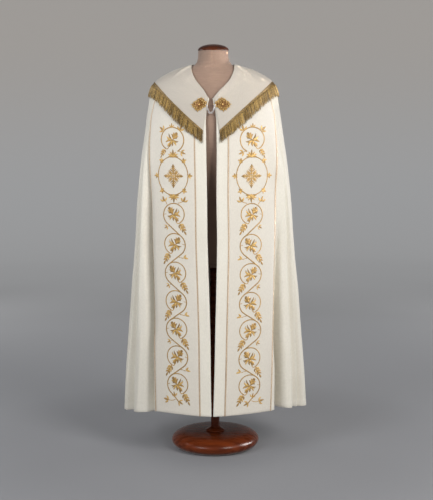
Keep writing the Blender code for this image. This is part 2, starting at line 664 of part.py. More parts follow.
def build_fringe(collection):
    """A fringe along each half of the collar's edge: a head, and strands that hang from its lower edge."""
    rise = COLLAR_RISE_AT_EDGE + (FRINGE_THICKNESS - CLOTH) / 2
    half = FRINGE_THICKNESS / 2
    corner = shoulder_place()
    for side, word in ((LEFT, "left"), (RIGHT, "right")):
        places = fringe_places(corner)
        width = len(places)
        head = []
        for below in (2 * SEAM_GAP, FRINGE_HEAD):
            for out in (half, -half):
                head.append(fringe_point(side, places, np.full(width, below), rise + out))
        number = np.repeat(np.arange(width // 2), 2)
        length = FRINGE_LENGTH + STRAND_UNEVEN * np.sin(2.4 * number) * np.cos(0.7 * number)
        middle = np.repeat((places[0::2] + places[1::2]) / 2, 2)
        narrowed = middle + (places - middle) * STRAND_TAPER
        tips = []
        for out in (half, -half):
            stand = rise + STRAND_SPREAD + out * STRAND_TAPER
            tips.append(fringe_point(side, narrowed, FRINGE_HEAD + length, stand))
        points = np.concatenate([np.stack(rows, axis=1).reshape(-1, 3) for rows in (head, tips)])
        groups = [column for column in range(width - 1)
                  if column % 2 == 0 or abs(column - 2 * STRANDS_FRONT) < NEAR_CORNER] + [width - 1]
        mesh = bpy.data.meshes.new(f"fringe_{word}")
        mesh.from_pydata(points.tolist(), [], fringe_faces(groups, width))
        body = bmesh.new()
        body.from_mesh(mesh)
        used = {vertex for edge in body.edges for vertex in edge.verts}
        loose = [vertex for vertex in body.verts if vertex not in used]
        bmesh.ops.delete(body, geom=loose, context="VERTS")
        bmesh.ops.recalc_face_normals(body, faces=body.faces)
        body.to_mesh(mesh)
        body.free()
        add_object(f"fringe_{word}", mesh, "gold_fringe", collection)


# ------------------------------------------------------------------ the clasp
def front_frame(side, from_centre, height, rise):
    """A point in front of the collar and its directions: sideways, up and outward."""
    at = np.array([height])
    x, y, length = half_contour(at)
    front = slice(0, CONTOUR_STEPS // 2)
    arc = np.array([np.interp(from_centre, x[0, front], length[0, front])])

    def surface(across, down):
        return on_section(side, across, height - down, np.zeros(len(across)))
    flat = np.zeros(1)
    point = surface(arc, flat)
    outward = (moved_out(surface, side, arc, flat, 1.0) - point)[0]
    sideways = np.cross(outward, (0.0, 0.0, 1.0))
    sideways /= np.linalg.norm(sideways)
    upward = np.cross(sideways, outward)
    return point[0] + outward * rise, sideways, upward, outward


def lozenge(scale, count):
    """Outline of a plate: a lozenge with round corners, as a superellipse."""
    turn = np.arange(count) * 2 * math.pi / count
    cosine, sine = np.cos(turn), np.sin(turn)
    across = CLASP_HALF_WIDTH * np.sign(cosine) * np.abs(cosine) ** (2 / LOZENGE_POWER)
    up = CLASP_HALF_HEIGHT * np.sign(sine) * np.abs(sine) ** (2 / LOZENGE_POWER)
    return across * scale, up * scale


def build_clasp_plates(collection):
    """A raised lozenge plate on each front of the collar."""
    rise = COLLAR_RISE_AT_EDGE + CLOTH / 2 + SEAM_GAP
    for side, word in ((LEFT, "left"), (RIGHT, "right")):
        place = CLASP_TIP + CLASP_HALF_WIDTH
        centre, sideways, upward, outward = front_frame(side, place, CLASP_HEIGHT, rise)
        rings = []
        for scale, thickness in CLASP_RINGS:
            across, up = lozenge(scale, CLASP_POINTS)
            ring = centre + across[:, None] * sideways + up[:, None] * upward + thickness * outward
            rings.append(ring)
        mesh = grid_mesh(f"clasp_plate_{word}", np.transpose(np.array(rings), (1, 0, 2)), ring=True)
        body = bmesh.new()
        body.from_mesh(mesh)
        bmesh.ops.holes_fill(body, edges=[edge for edge in body.edges if edge.is_boundary])
        bmesh.ops.recalc_face_normals(body, faces=body.faces)
        body.to_mesh(mesh)
        body.free()
        add_object(f"clasp_plate_{word}", mesh, "clasp_metal", collection)


def hanging_path(half_span, length, count):
    """A catenary between two points at one height, as long as the chain: x and drop at even steps."""
    low, high = half_span / 20, half_span * 20
    for _ in range(HALVINGS):
        curve = (low + high) / 2
        too_long = 2 * curve * math.sinh(half_span / curve) > length
        low, high = (curve, high) if too_long else (low, curve)
    marks = np.linspace(-length / 2, length / 2, count)
    across = curve * np.arcsinh(marks / curve)
    return across, curve * (math.cosh(half_span / curve) - np.cosh(across / curve))


def build_chain(collection):
    """A chain of oval links that hangs between the plates, every second one turned by a quarter."""
    rise = COLLAR_RISE_AT_EDGE + CLOTH / 2
    tips = [front_frame(side, CLASP_TIP, CLASP_HEIGHT, rise)[0] for side in (LEFT, RIGHT)]
    middle, depth = (tips[0] + tips[1])[:2] / 2
    depth -= CHAIN_FORWARD
    pitch = LINK_LENGTH - 2 * LINK_WIRE - LINK_PLAY
    across, drop = hanging_path(CLASP_TIP + CHAIN_LAP, pitch * LINKS, LINKS + 1)
    turn = np.arange(LINK_POINTS) * 2 * math.pi / LINK_POINTS
    long_way = (LINK_LENGTH - LINK_WIRE) / 2 * np.cos(turn)
    short_way = (LINK_WIDTH - LINK_WIRE) / 2 * np.sign(np.sin(turn)) * np.abs(np.sin(turn)) ** LINK_SQUARENESS
    for number in range(LINKS):
        tilt = math.atan2(drop[number + 1] - drop[number], across[number + 1] - across[number])
        x = middle + (across[number] + across[number + 1]) / 2
        z = CLASP_HEIGHT - (drop[number] + drop[number + 1]) / 2
        curve = bpy.data.curves.new(f"chain_link_{number + 1}", "CURVE")
        curve.dimensions = "3D"
        curve.bevel_depth = LINK_WIRE / 2
        curve.bevel_resolution = 0
        spline = curve.splines.new("POLY")
        spline.points.add(LINK_POINTS - 1)
        spline.use_cyclic_u = True
        faces_front = number % 2 == 0
        for point, run, out in zip(spline.points, long_way, short_way):
            up, forward = (out, 0.0) if faces_front else (0.0, out)
            point.co = (
                x + run * math.cos(tilt) + up * math.sin(tilt),
                depth - forward,
                z - run * math.sin(tilt) + up * math.cos(tilt),
                1.0,
            )
        add_object(curve.name, curve, "chain_metal", collection)


def main():
    """Clear the scene and build every piece."""
    for thing in list(bpy.data.objects):
        bpy.data.objects.remove(thing, do_unlink=True)
    collection = bpy.data.collections.new(OBJECT_NAME)
    bpy.context.scene.collection.children.link(collection)
    build_base(collection)
    build_pole(collection)
    build_torso(collection)
    build_neck_cap(collection)
    build_mantle(collection)
    build_orphreys(collection)
    build_collar(collection)
    build_fringe(collection)
    build_clasp_plates(collection)
    build_chain(collection)


main()
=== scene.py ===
"""Dressed model of a cope vestment on a limbless dress form.

Metres, +Z up. The garment's front looks along -Y and +X is the right of someone who faces it. Every cloth
piece is made from one family of horizontal half sections, moved out along its own surface. Each sub-assembly
is a class that holds its sizes, builds its meshes and dresses them.
"""
import logging
import math
from dataclasses import dataclass, field
from enum import Enum
from functools import partial, partialmethod
from typing import Callable, NamedTuple, Optional, Sequence, Union

import bpy
import numpy as np
from mathutils import Matrix, Vector


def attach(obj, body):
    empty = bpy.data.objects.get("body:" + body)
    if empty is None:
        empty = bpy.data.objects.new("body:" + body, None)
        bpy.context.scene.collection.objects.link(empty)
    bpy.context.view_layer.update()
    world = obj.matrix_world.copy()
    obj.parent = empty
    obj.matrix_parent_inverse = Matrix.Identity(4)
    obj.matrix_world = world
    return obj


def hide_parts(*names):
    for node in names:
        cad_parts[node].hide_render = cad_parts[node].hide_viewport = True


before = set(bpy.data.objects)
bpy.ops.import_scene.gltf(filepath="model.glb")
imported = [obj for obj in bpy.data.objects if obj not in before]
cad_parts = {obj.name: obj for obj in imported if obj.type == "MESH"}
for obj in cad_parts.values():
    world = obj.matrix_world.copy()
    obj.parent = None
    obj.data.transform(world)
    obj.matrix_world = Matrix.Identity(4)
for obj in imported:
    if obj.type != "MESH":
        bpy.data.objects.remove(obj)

LOG = logging.getLogger("cope")
Array = np.ndarray
Surface = Callable[[Array, Array], Array]
Colour = tuple[float, float, float]
Grid = tuple[Array, Array]


class Side(Enum):
    """A half of the garment, with the sign of its X."""

    LEFT = -1
    RIGHT = 1

    @property
    def word(self) -> str:
        """The word that ends the names of this half's pieces."""
        return self.name.lower()


# ------------------------------------------------------------------ tables of the cut
class Section(NamedTuple):
    """Sizes of the mantle's half section at one height."""

    height: float
    half_width: float
    front: float
    back: float
    front_power: float


MANTLE_SECTIONS = (
    Section(0.140, 0.397, 0.250, 0.337, 1.56),
    Section(0.195, 0.395, 0.245, 0.330, 1.56),
    Section(0.425, 0.384, 0.226, 0.300, 1.58),
    Section(0.690, 0.364, 0.203, 0.262, 1.64),
    Section(0.860, 0.346, 0.188, 0.235, 1.70),
    Section(1.080, 0.330, 0.169, 0.205, 1.80),
    Section(1.290, 0.306, 0.150, 0.177, 1.93),
    Section(1.380, 0.291, 0.142, 0.165, 2.00),
    Section(1.440, 0.282, 0.135, 0.157, 2.00),
    Section(1.500, 0.272, 0.127, 0.147, 2.00),
    Section(1.535, 0.266, 0.119, 0.138, 2.00),
    Section(1.560, 0.256, 0.112, 0.129, 2.00),
    Section(1.580, 0.239, 0.105, 0.121, 2.00),
    Section(1.600, 0.210, 0.096, 0.112, 2.00),
    Section(1.616, 0.180, 0.088, 0.104, 2.00),
    Section(1.629, 0.151, 0.081, 0.096, 2.00),
    Section(1.640, 0.118, 0.074, 0.089, 2.00),
    Section(1.650, 0.084, 0.068, 0.081, 2.00),
)


class FormSection(NamedTuple):
    """Sizes of the dress form's section at one height."""

    height: float
    half_width: float
    front: float
    back: float


FORM_SECTIONS = (
    FormSection(0.800, 0.150, 0.098, 0.112),
    FormSection(0.815, 0.160, 0.106, 0.122),
    FormSection(0.880, 0.168, 0.112, 0.132),
    FormSection(0.980, 0.156, 0.104, 0.116),
    FormSection(1.080, 0.146, 0.100, 0.104),
    FormSection(1.200, 0.160, 0.112, 0.112),
    FormSection(1.320, 0.183, 0.125, 0.126),
    FormSection(1.400, 0.194, 0.126, 0.134),
    FormSection(1.470, 0.200, 0.120, 0.136),
    FormSection(1.530, 0.207, 0.110, 0.128),
    FormSection(1.560, 0.212, 0.103, 0.121),
    FormSection(1.580, 0.209, 0.097, 0.114),
    FormSection(1.600, 0.196, 0.089, 0.106),
    FormSection(1.616, 0.176, 0.082, 0.099),
    FormSection(1.629, 0.142, 0.074, 0.089),
    FormSection(1.640, 0.105, 0.068, 0.082),
    FormSection(1.650, 0.079, 0.0655, 0.074),
    FormSection(1.662, 0.069, 0.0640, 0.068),
    FormSection(1.680, 0.0645, 0.0637, 0.0645),
    FormSection(1.709, 0.0635, 0.0635, 0.0635),
)


class Gap(NamedTuple):
    """Half of the front opening's width at one height."""

    height: float
    half_gap: float


FRONT_GAP = (
    Gap(0.180, 0.0040), Gap(0.350, 0.0080), Gap(0.520, 0.0105), Gap(0.720, 0.0155), Gap(0.930, 0.0205),
    Gap(1.090, 0.0200), Gap(1.360, 0.0220), Gap(1.440, 0.0205), Gap(1.475, 0.0145), Gap(1.512, 0.0075),
    Gap(1.650, 0.0075),
)


class Drift(NamedTuple):
    """How far the opening is drawn aside at one height."""

    height: float
    sideways: float


FRONT_DRIFT = (
    Drift(0.180, -0.0025), Drift(0.520, 0.0), Drift(0.900, -0.0010), Drift(1.090, -0.0030),
    Drift(1.360, -0.0045), Drift(1.500, -0.0065), Drift(1.515, -0.0065), Drift(1.537, -0.0042),
    Drift(1.560, -0.0010), Drift(1.650, -0.0010),
)


class NeckPoint(NamedTuple):
    """Height of the neckline at a share of the half section, from front to back."""

    share: float
    height: float


NECKLINE = (
    NeckPoint(0.000, 1.500), NeckPoint(0.018, 1.5135), NeckPoint(0.045, 1.5380), NeckPoint(0.078, 1.5590),
    NeckPoint(0.118, 1.5820), NeckPoint(0.160, 1.6045), NeckPoint(0.215, 1.6260), NeckPoint(0.275, 1.6390),
    NeckPoint(0.345, 1.6460), NeckPoint(0.450, 1.6490),
    NeckPoint(0.600, 1.6485), NeckPoint(0.800, 1.646), NeckPoint(1.000, 1.644),
)


class Fold(NamedTuple):
    """A fold from one ridge to the next: shares of the folded run where it starts to fan and at the hem."""

    trough_high: float
    trough_hem: float
    ridge_high: float
    ridge_hem: float
    depth: float
    top: float


FOLDS = {
    Side.LEFT: (
        Fold(0.010, 0.022, 0.029, 0.145, 0.030, 1.480),
        Fold(0.060, 0.215, 0.110, 0.275, 0.046, 1.330),
        Fold(0.165, 0.335, 0.225, 0.395, 0.050, 1.450),
        Fold(0.290, 0.455, 0.355, 0.515, 0.056, 1.380),
        Fold(0.425, 0.580, 0.495, 0.640, 0.048, 1.420),
        Fold(0.570, 0.705, 0.645, 0.765, 0.060, 1.350),
        Fold(0.725, 0.825, 0.805, 0.885, 0.050, 1.400),
        Fold(0.900, 0.945, 1.000, 1.000, 0.055, 1.300),
    ),
    Side.RIGHT: (
        Fold(0.012, 0.075, 0.040, 0.125, 0.046, 1.000),
        Fold(0.065, 0.175, 0.130, 0.275, 0.042, 1.470),
        Fold(0.180, 0.330, 0.240, 0.390, 0.054, 1.400),
        Fold(0.285, 0.440, 0.350, 0.500, 0.050, 1.440),
        Fold(0.420, 0.565, 0.490, 0.630, 0.060, 1.360),
        Fold(0.565, 0.695, 0.640, 0.755, 0.050, 1.410),
        Fold(0.720, 0.820, 0.800, 0.880, 0.058, 1.330),
        Fold(0.895, 0.942, 1.000, 1.000, 0.048, 1.380),
    ),
}


class HemPoint(NamedTuple):
    """Height of the hem at a station, on both halves."""

    station: float
    left: float
    right: float


HEM = (
    HemPoint(0.0, 0.195, 0.195), HemPoint(1.0, 0.196, 0.200), HemPoint(2.0, 0.174, 0.197),
    HemPoint(3.0, 0.162, 0.184), HemPoint(6.0, 0.163, 0.168), HemPoint(9.0, 0.165, 0.165),
)


class Corner(NamedTuple):
    """A point of the collar's edge, seen from the front."""

    from_centre: float
    height: float


FRONT_CORNER = Corner(0.034, 1.384)
SHOULDER_CORNER = Corner(0.245, 1.577)
BACK_POINT = Corner(0.000, 1.240)
COLLAR_EDGE = (FRONT_CORNER, Corner(0.0240, 1.438), Corner(0.0165, 1.475), Corner(0.0120, 1.512))


class Crease(NamedTuple):
    """A soft trough (or, with a negative depth, ridge) in the mantle.

    Its path gives heights, from its foot up, with lengths of cloth from the front edge. It is as wide as near
    on the side of the front edge and as far on the other side, and it deepens over a share of its length.
    """

    path: tuple[tuple[float, float], ...]
    near: float
    far: float
    depth: float
    grow: float = 0.25


CREASES = {
    Side.LEFT: (
        Crease(((0.05, 0.478), (0.198, 0.451), (0.346, 0.425), (0.524, 0.394), (0.698, 0.364), (0.861, 0.338),
                (1.105, 0.311), (1.253, 0.294), (1.376, 0.268), (1.470, 0.262)), 0.0450, 0.0050, -0.0210, 0.22),
        Crease(((0.05, 0.302), (0.225, 0.288), (0.299, 0.283), (0.405, 0.277), (0.534, 0.272), (0.709, 0.268),
                (0.855, 0.266), (1.300, 0.263)), 0.0080, 0.0165, 0.0520, 0.45),
        Crease(((0.45, 0.262), (0.80, 0.262), (1.28, 0.262)), 0.0170, 0.010, 0.0115, 0.30),
        Crease(((0.05, 0.484), (0.346, 0.431), (0.698, 0.370), (1.105, 0.317)), 0.0050, 0.0140, 0.0070, 0.3),
        Crease(((0.42, 0.030), (0.98, 0.018)), 0.010, 0.010, 0.0018, 0.4),
        Crease(((0.26, 0.024), (0.70, 0.036)), 0.008, 0.008, -0.0012, 0.4),
        Crease(((0.10, 0.372), (0.40, 0.340), (0.72, 0.318)), 0.010, 0.012, -0.0030, 0.5),
        Crease(((0.05, 0.540), (0.50, 0.470), (0.98, 0.390)), 0.012, 0.014, -0.0050, 0.4),
        Crease(((0.30, 0.620), (0.80, 0.530), (1.28, 0.460)), 0.010, 0.020, 0.0080, 0.3),
        Crease(((0.05, 0.700), (0.45, 0.640), (0.82, 0.580)), 0.014, 0.014, 0.0055, 0.4),
        Crease(((0.40, 0.850), (0.85, 0.740), (1.20, 0.640)), 0.012, 0.018, 0.0090, 0.3),
        Crease(((0.05, 0.980), (0.55, 0.880), (0.96, 0.780)), 0.016, 0.012, -0.0045, 0.4),
        Crease(((0.30, 1.120), (0.80, 0.980), (1.16, 0.860)), 0.016, 0.012, 0.0070, 0.3),
        Crease(((0.05, 1.220), (0.45, 1.130), (0.78, 1.040)), 0.013, 0.016, 0.0060, 0.4),
    ),
    Side.RIGHT: (
        Crease(((0.05, 0.440), (0.207, 0.420), (0.352, 0.399), (0.509, 0.381), (0.665, 0.364), (0.847, 0.342),
                (0.920, 0.331), (1.044, 0.318), (1.139, 0.307), (1.236, 0.280), (1.327, 0.265),
                (1.460, 0.262)), 0.0450, 0.0050, -0.0210, 0.22),
        Crease(((0.05, 0.318), (0.239, 0.306), (0.358, 0.299), (0.467, 0.292), (0.586, 0.285), (0.709, 0.278),
                (1.100, 0.268)), 0.0180, 0.0110, 0.0850, 1.00),
        Crease(((0.35, 0.262), (0.70, 0.262), (1.05, 0.262)), 0.006, 0.012, 0.0070, 0.4),
        Crease(((0.05, 0.446), (0.352, 0.405), (0.665, 0.370), (1.044, 0.324)), 0.0050, 0.0160, 0.0100, 0.3),
        Crease(((0.56, 0.026), (1.12, 0.014)), 0.009, 0.009, 0.0016, 0.4),
        Crease(((0.23, 0.022), (0.64, 0.034)), 0.009, 0.009, 0.0014, 0.4),
        Crease(((0.58, 0.300), (0.75, 0.293), (0.90, 0.288)), 0.004, 0.005, -0.0020, 0.4),
        Crease(((0.05, 0.372), (0.40, 0.352), (0.80, 0.326)), 0.010, 0.009, -0.0035, 0.5),
        Crease(((0.35, 0.470), (0.75, 0.420), (1.10, 0.372)), 0.010, 0.014, 0.0045, 0.4),
        Crease(((0.05, 0.640), (0.45, 0.560), (0.90, 0.460)), 0.016, 0.012, -0.0050, 0.4),
        Crease(((0.40, 0.680), (0.80, 0.600), (1.21, 0.530)), 0.011, 0.018, 0.0080, 0.3),
        Crease(((0.05, 0.860), (0.45, 0.760), (0.86, 0.660)), 0.014, 0.018, 0.0070, 0.4),
        Crease(((0.50, 0.930), (0.90, 0.830), (1.23, 0.740)), 0.018, 0.014, -0.0045, 0.3),
        Crease(((0.15, 1.130), (0.60, 1.020), (1.02, 0.900)), 0.012, 0.018, 0.0080, 0.3),
        Crease(((0.05, 1.200), (0.40, 1.130), (0.70, 1.060)), 0.012, 0.012, -0.0040, 0.4),
    ),
}


class Ripple(NamedTuple):
    """A long slow wave of the cloth: lengths across and up, turn and depth."""

    across: float
    up: float
    turn: float
    depth: float


RIPPLES = (
    Ripple(0.310, 1.900, 0.4, 0.0011), Ripple(0.170, -1.300, 2.1, 0.0007), Ripple(0.520, 0.640, 4.4, 0.0012),
)


class NeckCrease(NamedTuple):
    """A soft crease of the collar that falls from the neckline: its place, reach, width and height."""

    place: float
    lean: float
    reach: float
    width: float
    rise: float


NECK_CREASES = {
    Side.LEFT: (
        NeckCrease(0.285, 0.050, 0.60, 0.020, 0.0072),
        NeckCrease(0.330, 0.030, 0.50, 0.014, -0.0026),
        NeckCrease(0.160, 0.060, 0.70, 0.026, 0.0012),
        NeckCrease(0.700, 0.010, 0.50, 0.030, 0.0022),
        NeckCrease(0.900, 0.010, 0.45, 0.026, 0.0016),
    ),
    Side.RIGHT: (
        NeckCrease(0.300, -0.015, 0.66, 0.014, 0.0072),
        NeckCrease(0.328, -0.020, 0.60, 0.010, -0.0030),
        NeckCrease(0.190, 0.045, 0.60, 0.026, 0.0012),
        NeckCrease(0.760, -0.010, 0.60, 0.030, 0.0022),
    ),
}


def cubic_through(keys: Array, values: Array, at: Array) -> Array:
    """Read a curve through points: cubics whose slopes are the points' mean slopes, held at the ends."""
    slopes = np.gradient(values, keys)
    at = np.clip(at, keys[0], keys[-1])
    low = np.clip(np.searchsorted(keys, at, side="right") - 1, 0, len(keys) - 2)
    span = keys[low + 1] - keys[low]
    t = (at - keys[low]) / span
    start = (1 + 2 * t) * (1 - t) ** 2 * values[low] + t * (1 - t) ** 2 * span * slopes[low]
    end = t * t * (3 - 2 * t) * values[low + 1] - t * t * (1 - t) * span * slopes[low + 1]
    return start + end


def read_table(rows: Sequence[NamedTuple], key: str, column: str, at: Array) -> Array:
    """Read a table's column on a cubic that passes through its rows.

    Args:
        rows: the table, in rising order of its key.
        key: name of the key column.
        column: name of the column to read.
        at: keys to read it at.

    Returns:
        The column's value at each key, held at the ends.
    """
    keys = np.array([getattr(row, key) for row in rows])
    return cubic_through(keys, np.array([getattr(row, column) for row in rows]), at)


def smooth_step(value: Array, low: float, high: float) -> Array:
    """0 at low, 1 at high and a smooth cubic between them."""
    t = np.clip((value - low) / (high - low), 0.0, 1.0)
    return t * t * (3 - 2 * t)


def scatter(count: int, turn: float) -> Array:
    """Uneven numbers from 0 to 1: the fractions of a fast sine, the same in every run."""
    return np.modf(np.abs(np.sin(np.arange(1, count + 1) * 12.9898 + turn) * 43758.5453))[0]


def unit(vectors: Array) -> Array:
    """The same directions, each of length 1."""
    return vectors / np.linalg.norm(vectors, axis=-1)[..., None]


def whole_turn(count: int) -> Array:
    """Even angles round a whole turn."""
    return np.arange(count) * 2 * math.pi / count


# ------------------------------------------------------------------ the cloth's form
class ClothForm:
    """The horizontal half sections that all the cloth lies on.

    In front a section is the superellipse x = w sin(t)^(2/p), y = -f cos(t)^(2/p), and behind it is the
    ellipse x = w sin(t), y = b cos(t). The sections are read from a table of points at even shares of their
    lengths, for a thousand heights.
    """

    STRIP = 0.0455
    BRAID = 0.0050
    ORPHREY = 0.2000
    ZONE = STRIP + 2 * BRAID + ORPHREY
    FRONT_HEM = 0.195
    TOP_OF_SKIRT = 1.440
    FAN_TOP = 1.300
    COLLAR_OVER = 0.0040
    NECK_STEPS = 4
    DRIFT_DEPTH = 0.130
    NUDGE = 0.0005
    COLUMNS = 481

    def __init__(self) -> None:
        """Work out the table of section points and the collar's edge."""
        low = np.linspace(0.10, 1.50, 500, endpoint=False)
        self.heights = np.concatenate([low, np.linspace(1.50, 1.66, 500)])
        width, front, back, power = (
            read_table(MANTLE_SECTIONS, "height", column, self.heights)[:, None]
            for column in ("half_width", "front", "back", "front_power")
        )
        turn = np.linspace(0.0, math.pi, 721)
        sine, cosine = np.abs(np.sin(turn)), np.abs(np.cos(turn))
        ahead = turn < math.pi / 2
        x = width * np.where(ahead, sine ** (2 / power), sine)
        y = np.where(ahead, -front * cosine ** (2 / power), back * cosine)
        steps = np.hypot(np.diff(x, axis=1), np.diff(y, axis=1))
        length = np.concatenate([np.zeros((len(x), 1)), np.cumsum(steps, axis=1)], axis=1)
        self.lengths = length[:, -1]
        share = np.linspace(0.0, 1.0, self.COLUMNS)
        even = np.array([
            (np.interp(share * run[-1], run, row_x), np.interp(share * run[-1], run, row_y))
            for run, row_x, row_y in zip(length, x, y)
        ])
        run_x, run_y = np.gradient(even[:, 0], axis=1), np.gradient(even[:, 1], axis=1)
        size = np.hypot(run_x, run_y)
        self.points = np.stack([even[:, 0], even[:, 1], -run_y / size, run_x / size], axis=-1)
        self.shoulder = self.shoulder_place()
        self.edge_places = self.collar_places(80, 80)
        self.edge_heights = self.measured_edge(self.edge_places)

    def half_length(self, height: Array) -> Array:
        """Length of half a section at each height."""
        return np.interp(height, self.heights, self.lengths)

    def on_section(self, side: Side, arc: Array, height: Array, inset: Array) -> Array:
        """Find points round the sections.

        Args:
            side: the half of the garment.
            arc: lengths round the section from the front centre line.
            height: heights.
            inset: how far each point is moved in, level.

        Returns:
            An array of points, one row each.
        """
        row = np.interp(height, self.heights, np.arange(len(self.heights)))
        column = np.clip(arc / self.half_length(height), 0.0, 1.0) * (self.COLUMNS - 1)
        r = np.minimum(row.astype(int), len(self.heights) - 2)
        c = np.minimum(column.astype(int), self.COLUMNS - 2)
        up, on = (row - r)[..., None], (column - c)[..., None]
        table = self.points
        low = table[r, c] * (1 - on) + table[r, c + 1] * on
        high = table[r + 1, c] * (1 - on) + table[r + 1, c + 1] * on
        value = low * (1 - up) + high * up
        px = value[..., 0] + value[..., 2] * inset
        py = value[..., 1] + value[..., 3] * inset
        drift = read_table(FRONT_DRIFT, "height", "sideways", height)
        drift = drift * np.clip(-py / self.DRIFT_DEPTH, 0.0, 1.0) ** 2
        return np.stack([side.value * px + drift, py, height], axis=-1)

    def station_shares(self, side: Side, station: Array) -> tuple[Array, Array]:
        """A station's share of the folded run where the folds start to fan, and at the hem."""
        marks, high, hem = [1.0], [0.0], [0.0]
        for number, fold in enumerate(FOLDS[side]):
            marks += [number + 1.5, number + 2.0]
            high += [fold.trough_high, fold.ridge_high]
            hem += [fold.trough_hem, fold.ridge_hem]
        return np.interp(station, marks, high), np.interp(station, marks, hem)

    def mantle_arc(self, side: Side, station: Array, height: Array) -> tuple[Array, Array, Array]:
        """Place a station on its section.

        Args:
            side: the half of the garment.
            station: 0 is the front edge, 1 the end of the flat zone, then a whole number for each ridge.
            height: heights.

        Returns:
            Lengths round the section, lengths of cloth from the front edge, and shares of the folded run.
        """
        half_gap = read_table(FRONT_GAP, "height", "half_gap", height)
        lower = np.minimum(height, self.TOP_OF_SKIRT)
        run = self.half_length(lower) - read_table(FRONT_GAP, "height", "half_gap", lower)
        high, hem = self.station_shares(side, station)
        spread = np.clip((self.FAN_TOP - height) / (self.FAN_TOP - self.FRONT_HEM), 0.0, 1.0)
        share = high + (hem - high) * spread
        folded = self.ZONE + share * (run - self.ZONE)
        along = np.where(station < 1.0, self.ZONE * station, folded)
        arc = half_gap + along / run * (self.half_length(height) - half_gap)
        return arc, along, np.where(station < 1.0, 0.0, share)

    def fold_inset(self, side: Side, station: Array, height: Array) -> Array:
        """How far the folds draw the cloth in: each trough is a power of a half sine between two ridges."""
        folds = FOLDS[side]
        number = np.clip(np.floor(station - 1.0).astype(int), 0, len(folds) - 1)
        phase = np.clip(station - 1.0 - number, 0.0, 1.0)
        depth = np.array([fold.depth for fold in folds])[number]
        top = np.array([fold.top for fold in folds])[number]
        fallen = np.clip((top - height) / (top - self.FRONT_HEM), 0.0, 1.05)
        power = 2.6 - 1.1 * np.minimum(fallen, 1.0)
        return depth * fallen ** 0.8 * np.sin(math.pi * phase) ** (2 * power)

    def unevenness(self, side: Side, along: Array, share: Array, height: Array) -> Array:
        """How far creases and slow waves draw the cloth in.

        A crease is depth exp(-|d / width|^2.4), with d the distance along the cloth from its path and another
        width on either side; it fades in below its top and out above its foot. The waves are slanted sines,
        weaker in the flat zone, and fade under the collar and at the middle of the back.

        Args:
            side: the half of the garment.
            along: lengths of cloth from the front edge.
            share: shares of the folded run.
            height: heights.

        Returns:
            The inset at each point.
        """
        total = np.zeros(np.shape(along))
        for crease in CREASES[side]:
            path = np.array(crease.path)
            off = along - cubic_through(path[:, 0], path[:, 1], height)
            off = off / np.where(off < 0, crease.near, crease.far)
            t = (path[-1, 0] - height) / (path[-1, 0] - path[0, 0])
            fade = smooth_step(t, 0.0, crease.grow) * (1 - smooth_step(t, 0.80, 1.0))
            total += crease.depth * np.exp(-np.abs(off) ** 2.4) * fade
        wave = np.zeros(np.shape(along))
        for ripple in RIPPLES:
            wave += ripple.depth * np.sin(2 * math.pi * (along / ripple.across + height / ripple.up) + ripple.turn)
        wave *= 0.25 + 0.75 * smooth_step(along, self.ZONE, self.ZONE + 0.05)
        middle = 1 - smooth_step(share, 0.90, 1.0)
        return (total + wave * (1 - smooth_step(height, 1.10, 1.30))) * middle

    def mantle(self, side: Side, station: Array, drop: Array) -> Array:
        """The mantle's middle: station runs round it, drop from its neckline (0) to its hem (1)."""
        height = self.mantle_height(side, station, drop)
        arc, along, share = self.mantle_arc(side, station, height)
        inset = self.fold_inset(side, station, height) + self.unevenness(side, along, share, height)
        return self.on_section(side, arc, height, inset)

    def mantle_height(self, side: Side, station: Array, drop: Array) -> Array:
        """Height of a drop from the neckline (0) to the hem (1)."""
        top = np.full(np.shape(station), self.TOP_OF_SKIRT)
        for _ in range(self.NECK_STEPS):
            arc = self.mantle_arc(side, station, top)[0]
            top = self.collar_top(self.collar_place(arc, top)) - self.COLLAR_OVER
        foot = read_table(HEM, "station", side.word, station)
        return top + (foot - top) * drop

    def front_zone(self, side: Side, along: Array, height: Array) -> Array:
        """The flat front zone by lengths of cloth from the front edge and heights, below the collar."""
        half_gap = read_table(FRONT_GAP, "height", "half_gap", height)
        inset = self.unevenness(side, along, np.zeros(np.shape(along)), height)
        return self.on_section(side, half_gap + along, height, inset)

    def moved_out(self, surface: Surface, side: Side, across: Array, down: Array, distance: Array) -> Array:
        """Move points of one half's surface out: the direction is the cross product of its two slopes."""
        along = surface(across + self.NUDGE, down) - surface(across - self.NUDGE, down)
        fall = surface(across, down + self.NUDGE) - surface(across, down - self.NUDGE)
        outward = unit(np.cross(fall, along))
        return surface(across, down) + side.value * outward * np.asarray(distance)[..., None]

    # -------------------------------------------------------------- the collar's surface
    def shoulder_place(self) -> float:
        """The collar's place at which its shoulder corner lies."""
        height = np.array([SHOULDER_CORNER.height])
        row = int(np.argmin(np.abs(self.heights - height[0])))
        share = float(np.argmax(self.points[row, :, 0])) / (self.COLUMNS - 1)
        front = float(self.collar_share(np.zeros(1), height)[0])
        return (share - front) / (1.0 - front)

    def collar_places(self, front: int, back: int, first: float = 0.0, last: float = 1.0) -> Array:
        """Places over the collar, even from its front edge to its shoulder corner and from there on."""
        behind = np.linspace(self.shoulder, last, back)[1:]
        return np.concatenate([np.linspace(first, self.shoulder, front), behind])

    def collar_share(self, place: Array, height: Array) -> Array:
        """Share of the half section at a collar's place: 0 is its front edge, 1 the middle of the back."""
        front = read_table(COLLAR_EDGE, "height", "from_centre", height) / self.half_length(height)
        return front + place * (1.0 - front)

    def collar_place(self, arc: Array, height: Array) -> Array:
        """Place over the collar of a length round the section."""
        front = self.collar_share(np.zeros(np.shape(height)), height)
        return np.clip((arc / self.half_length(height) - front) / (1.0 - front), 0.0, 1.0)

    def collar_point(self, side: Side, place: Array, height: Array) -> Array:
        """A point of the surface under the collar."""
        arc = self.collar_share(place, height) * self.half_length(height)
        return self.on_section(side, arc, height, np.zeros(np.shape(height)))

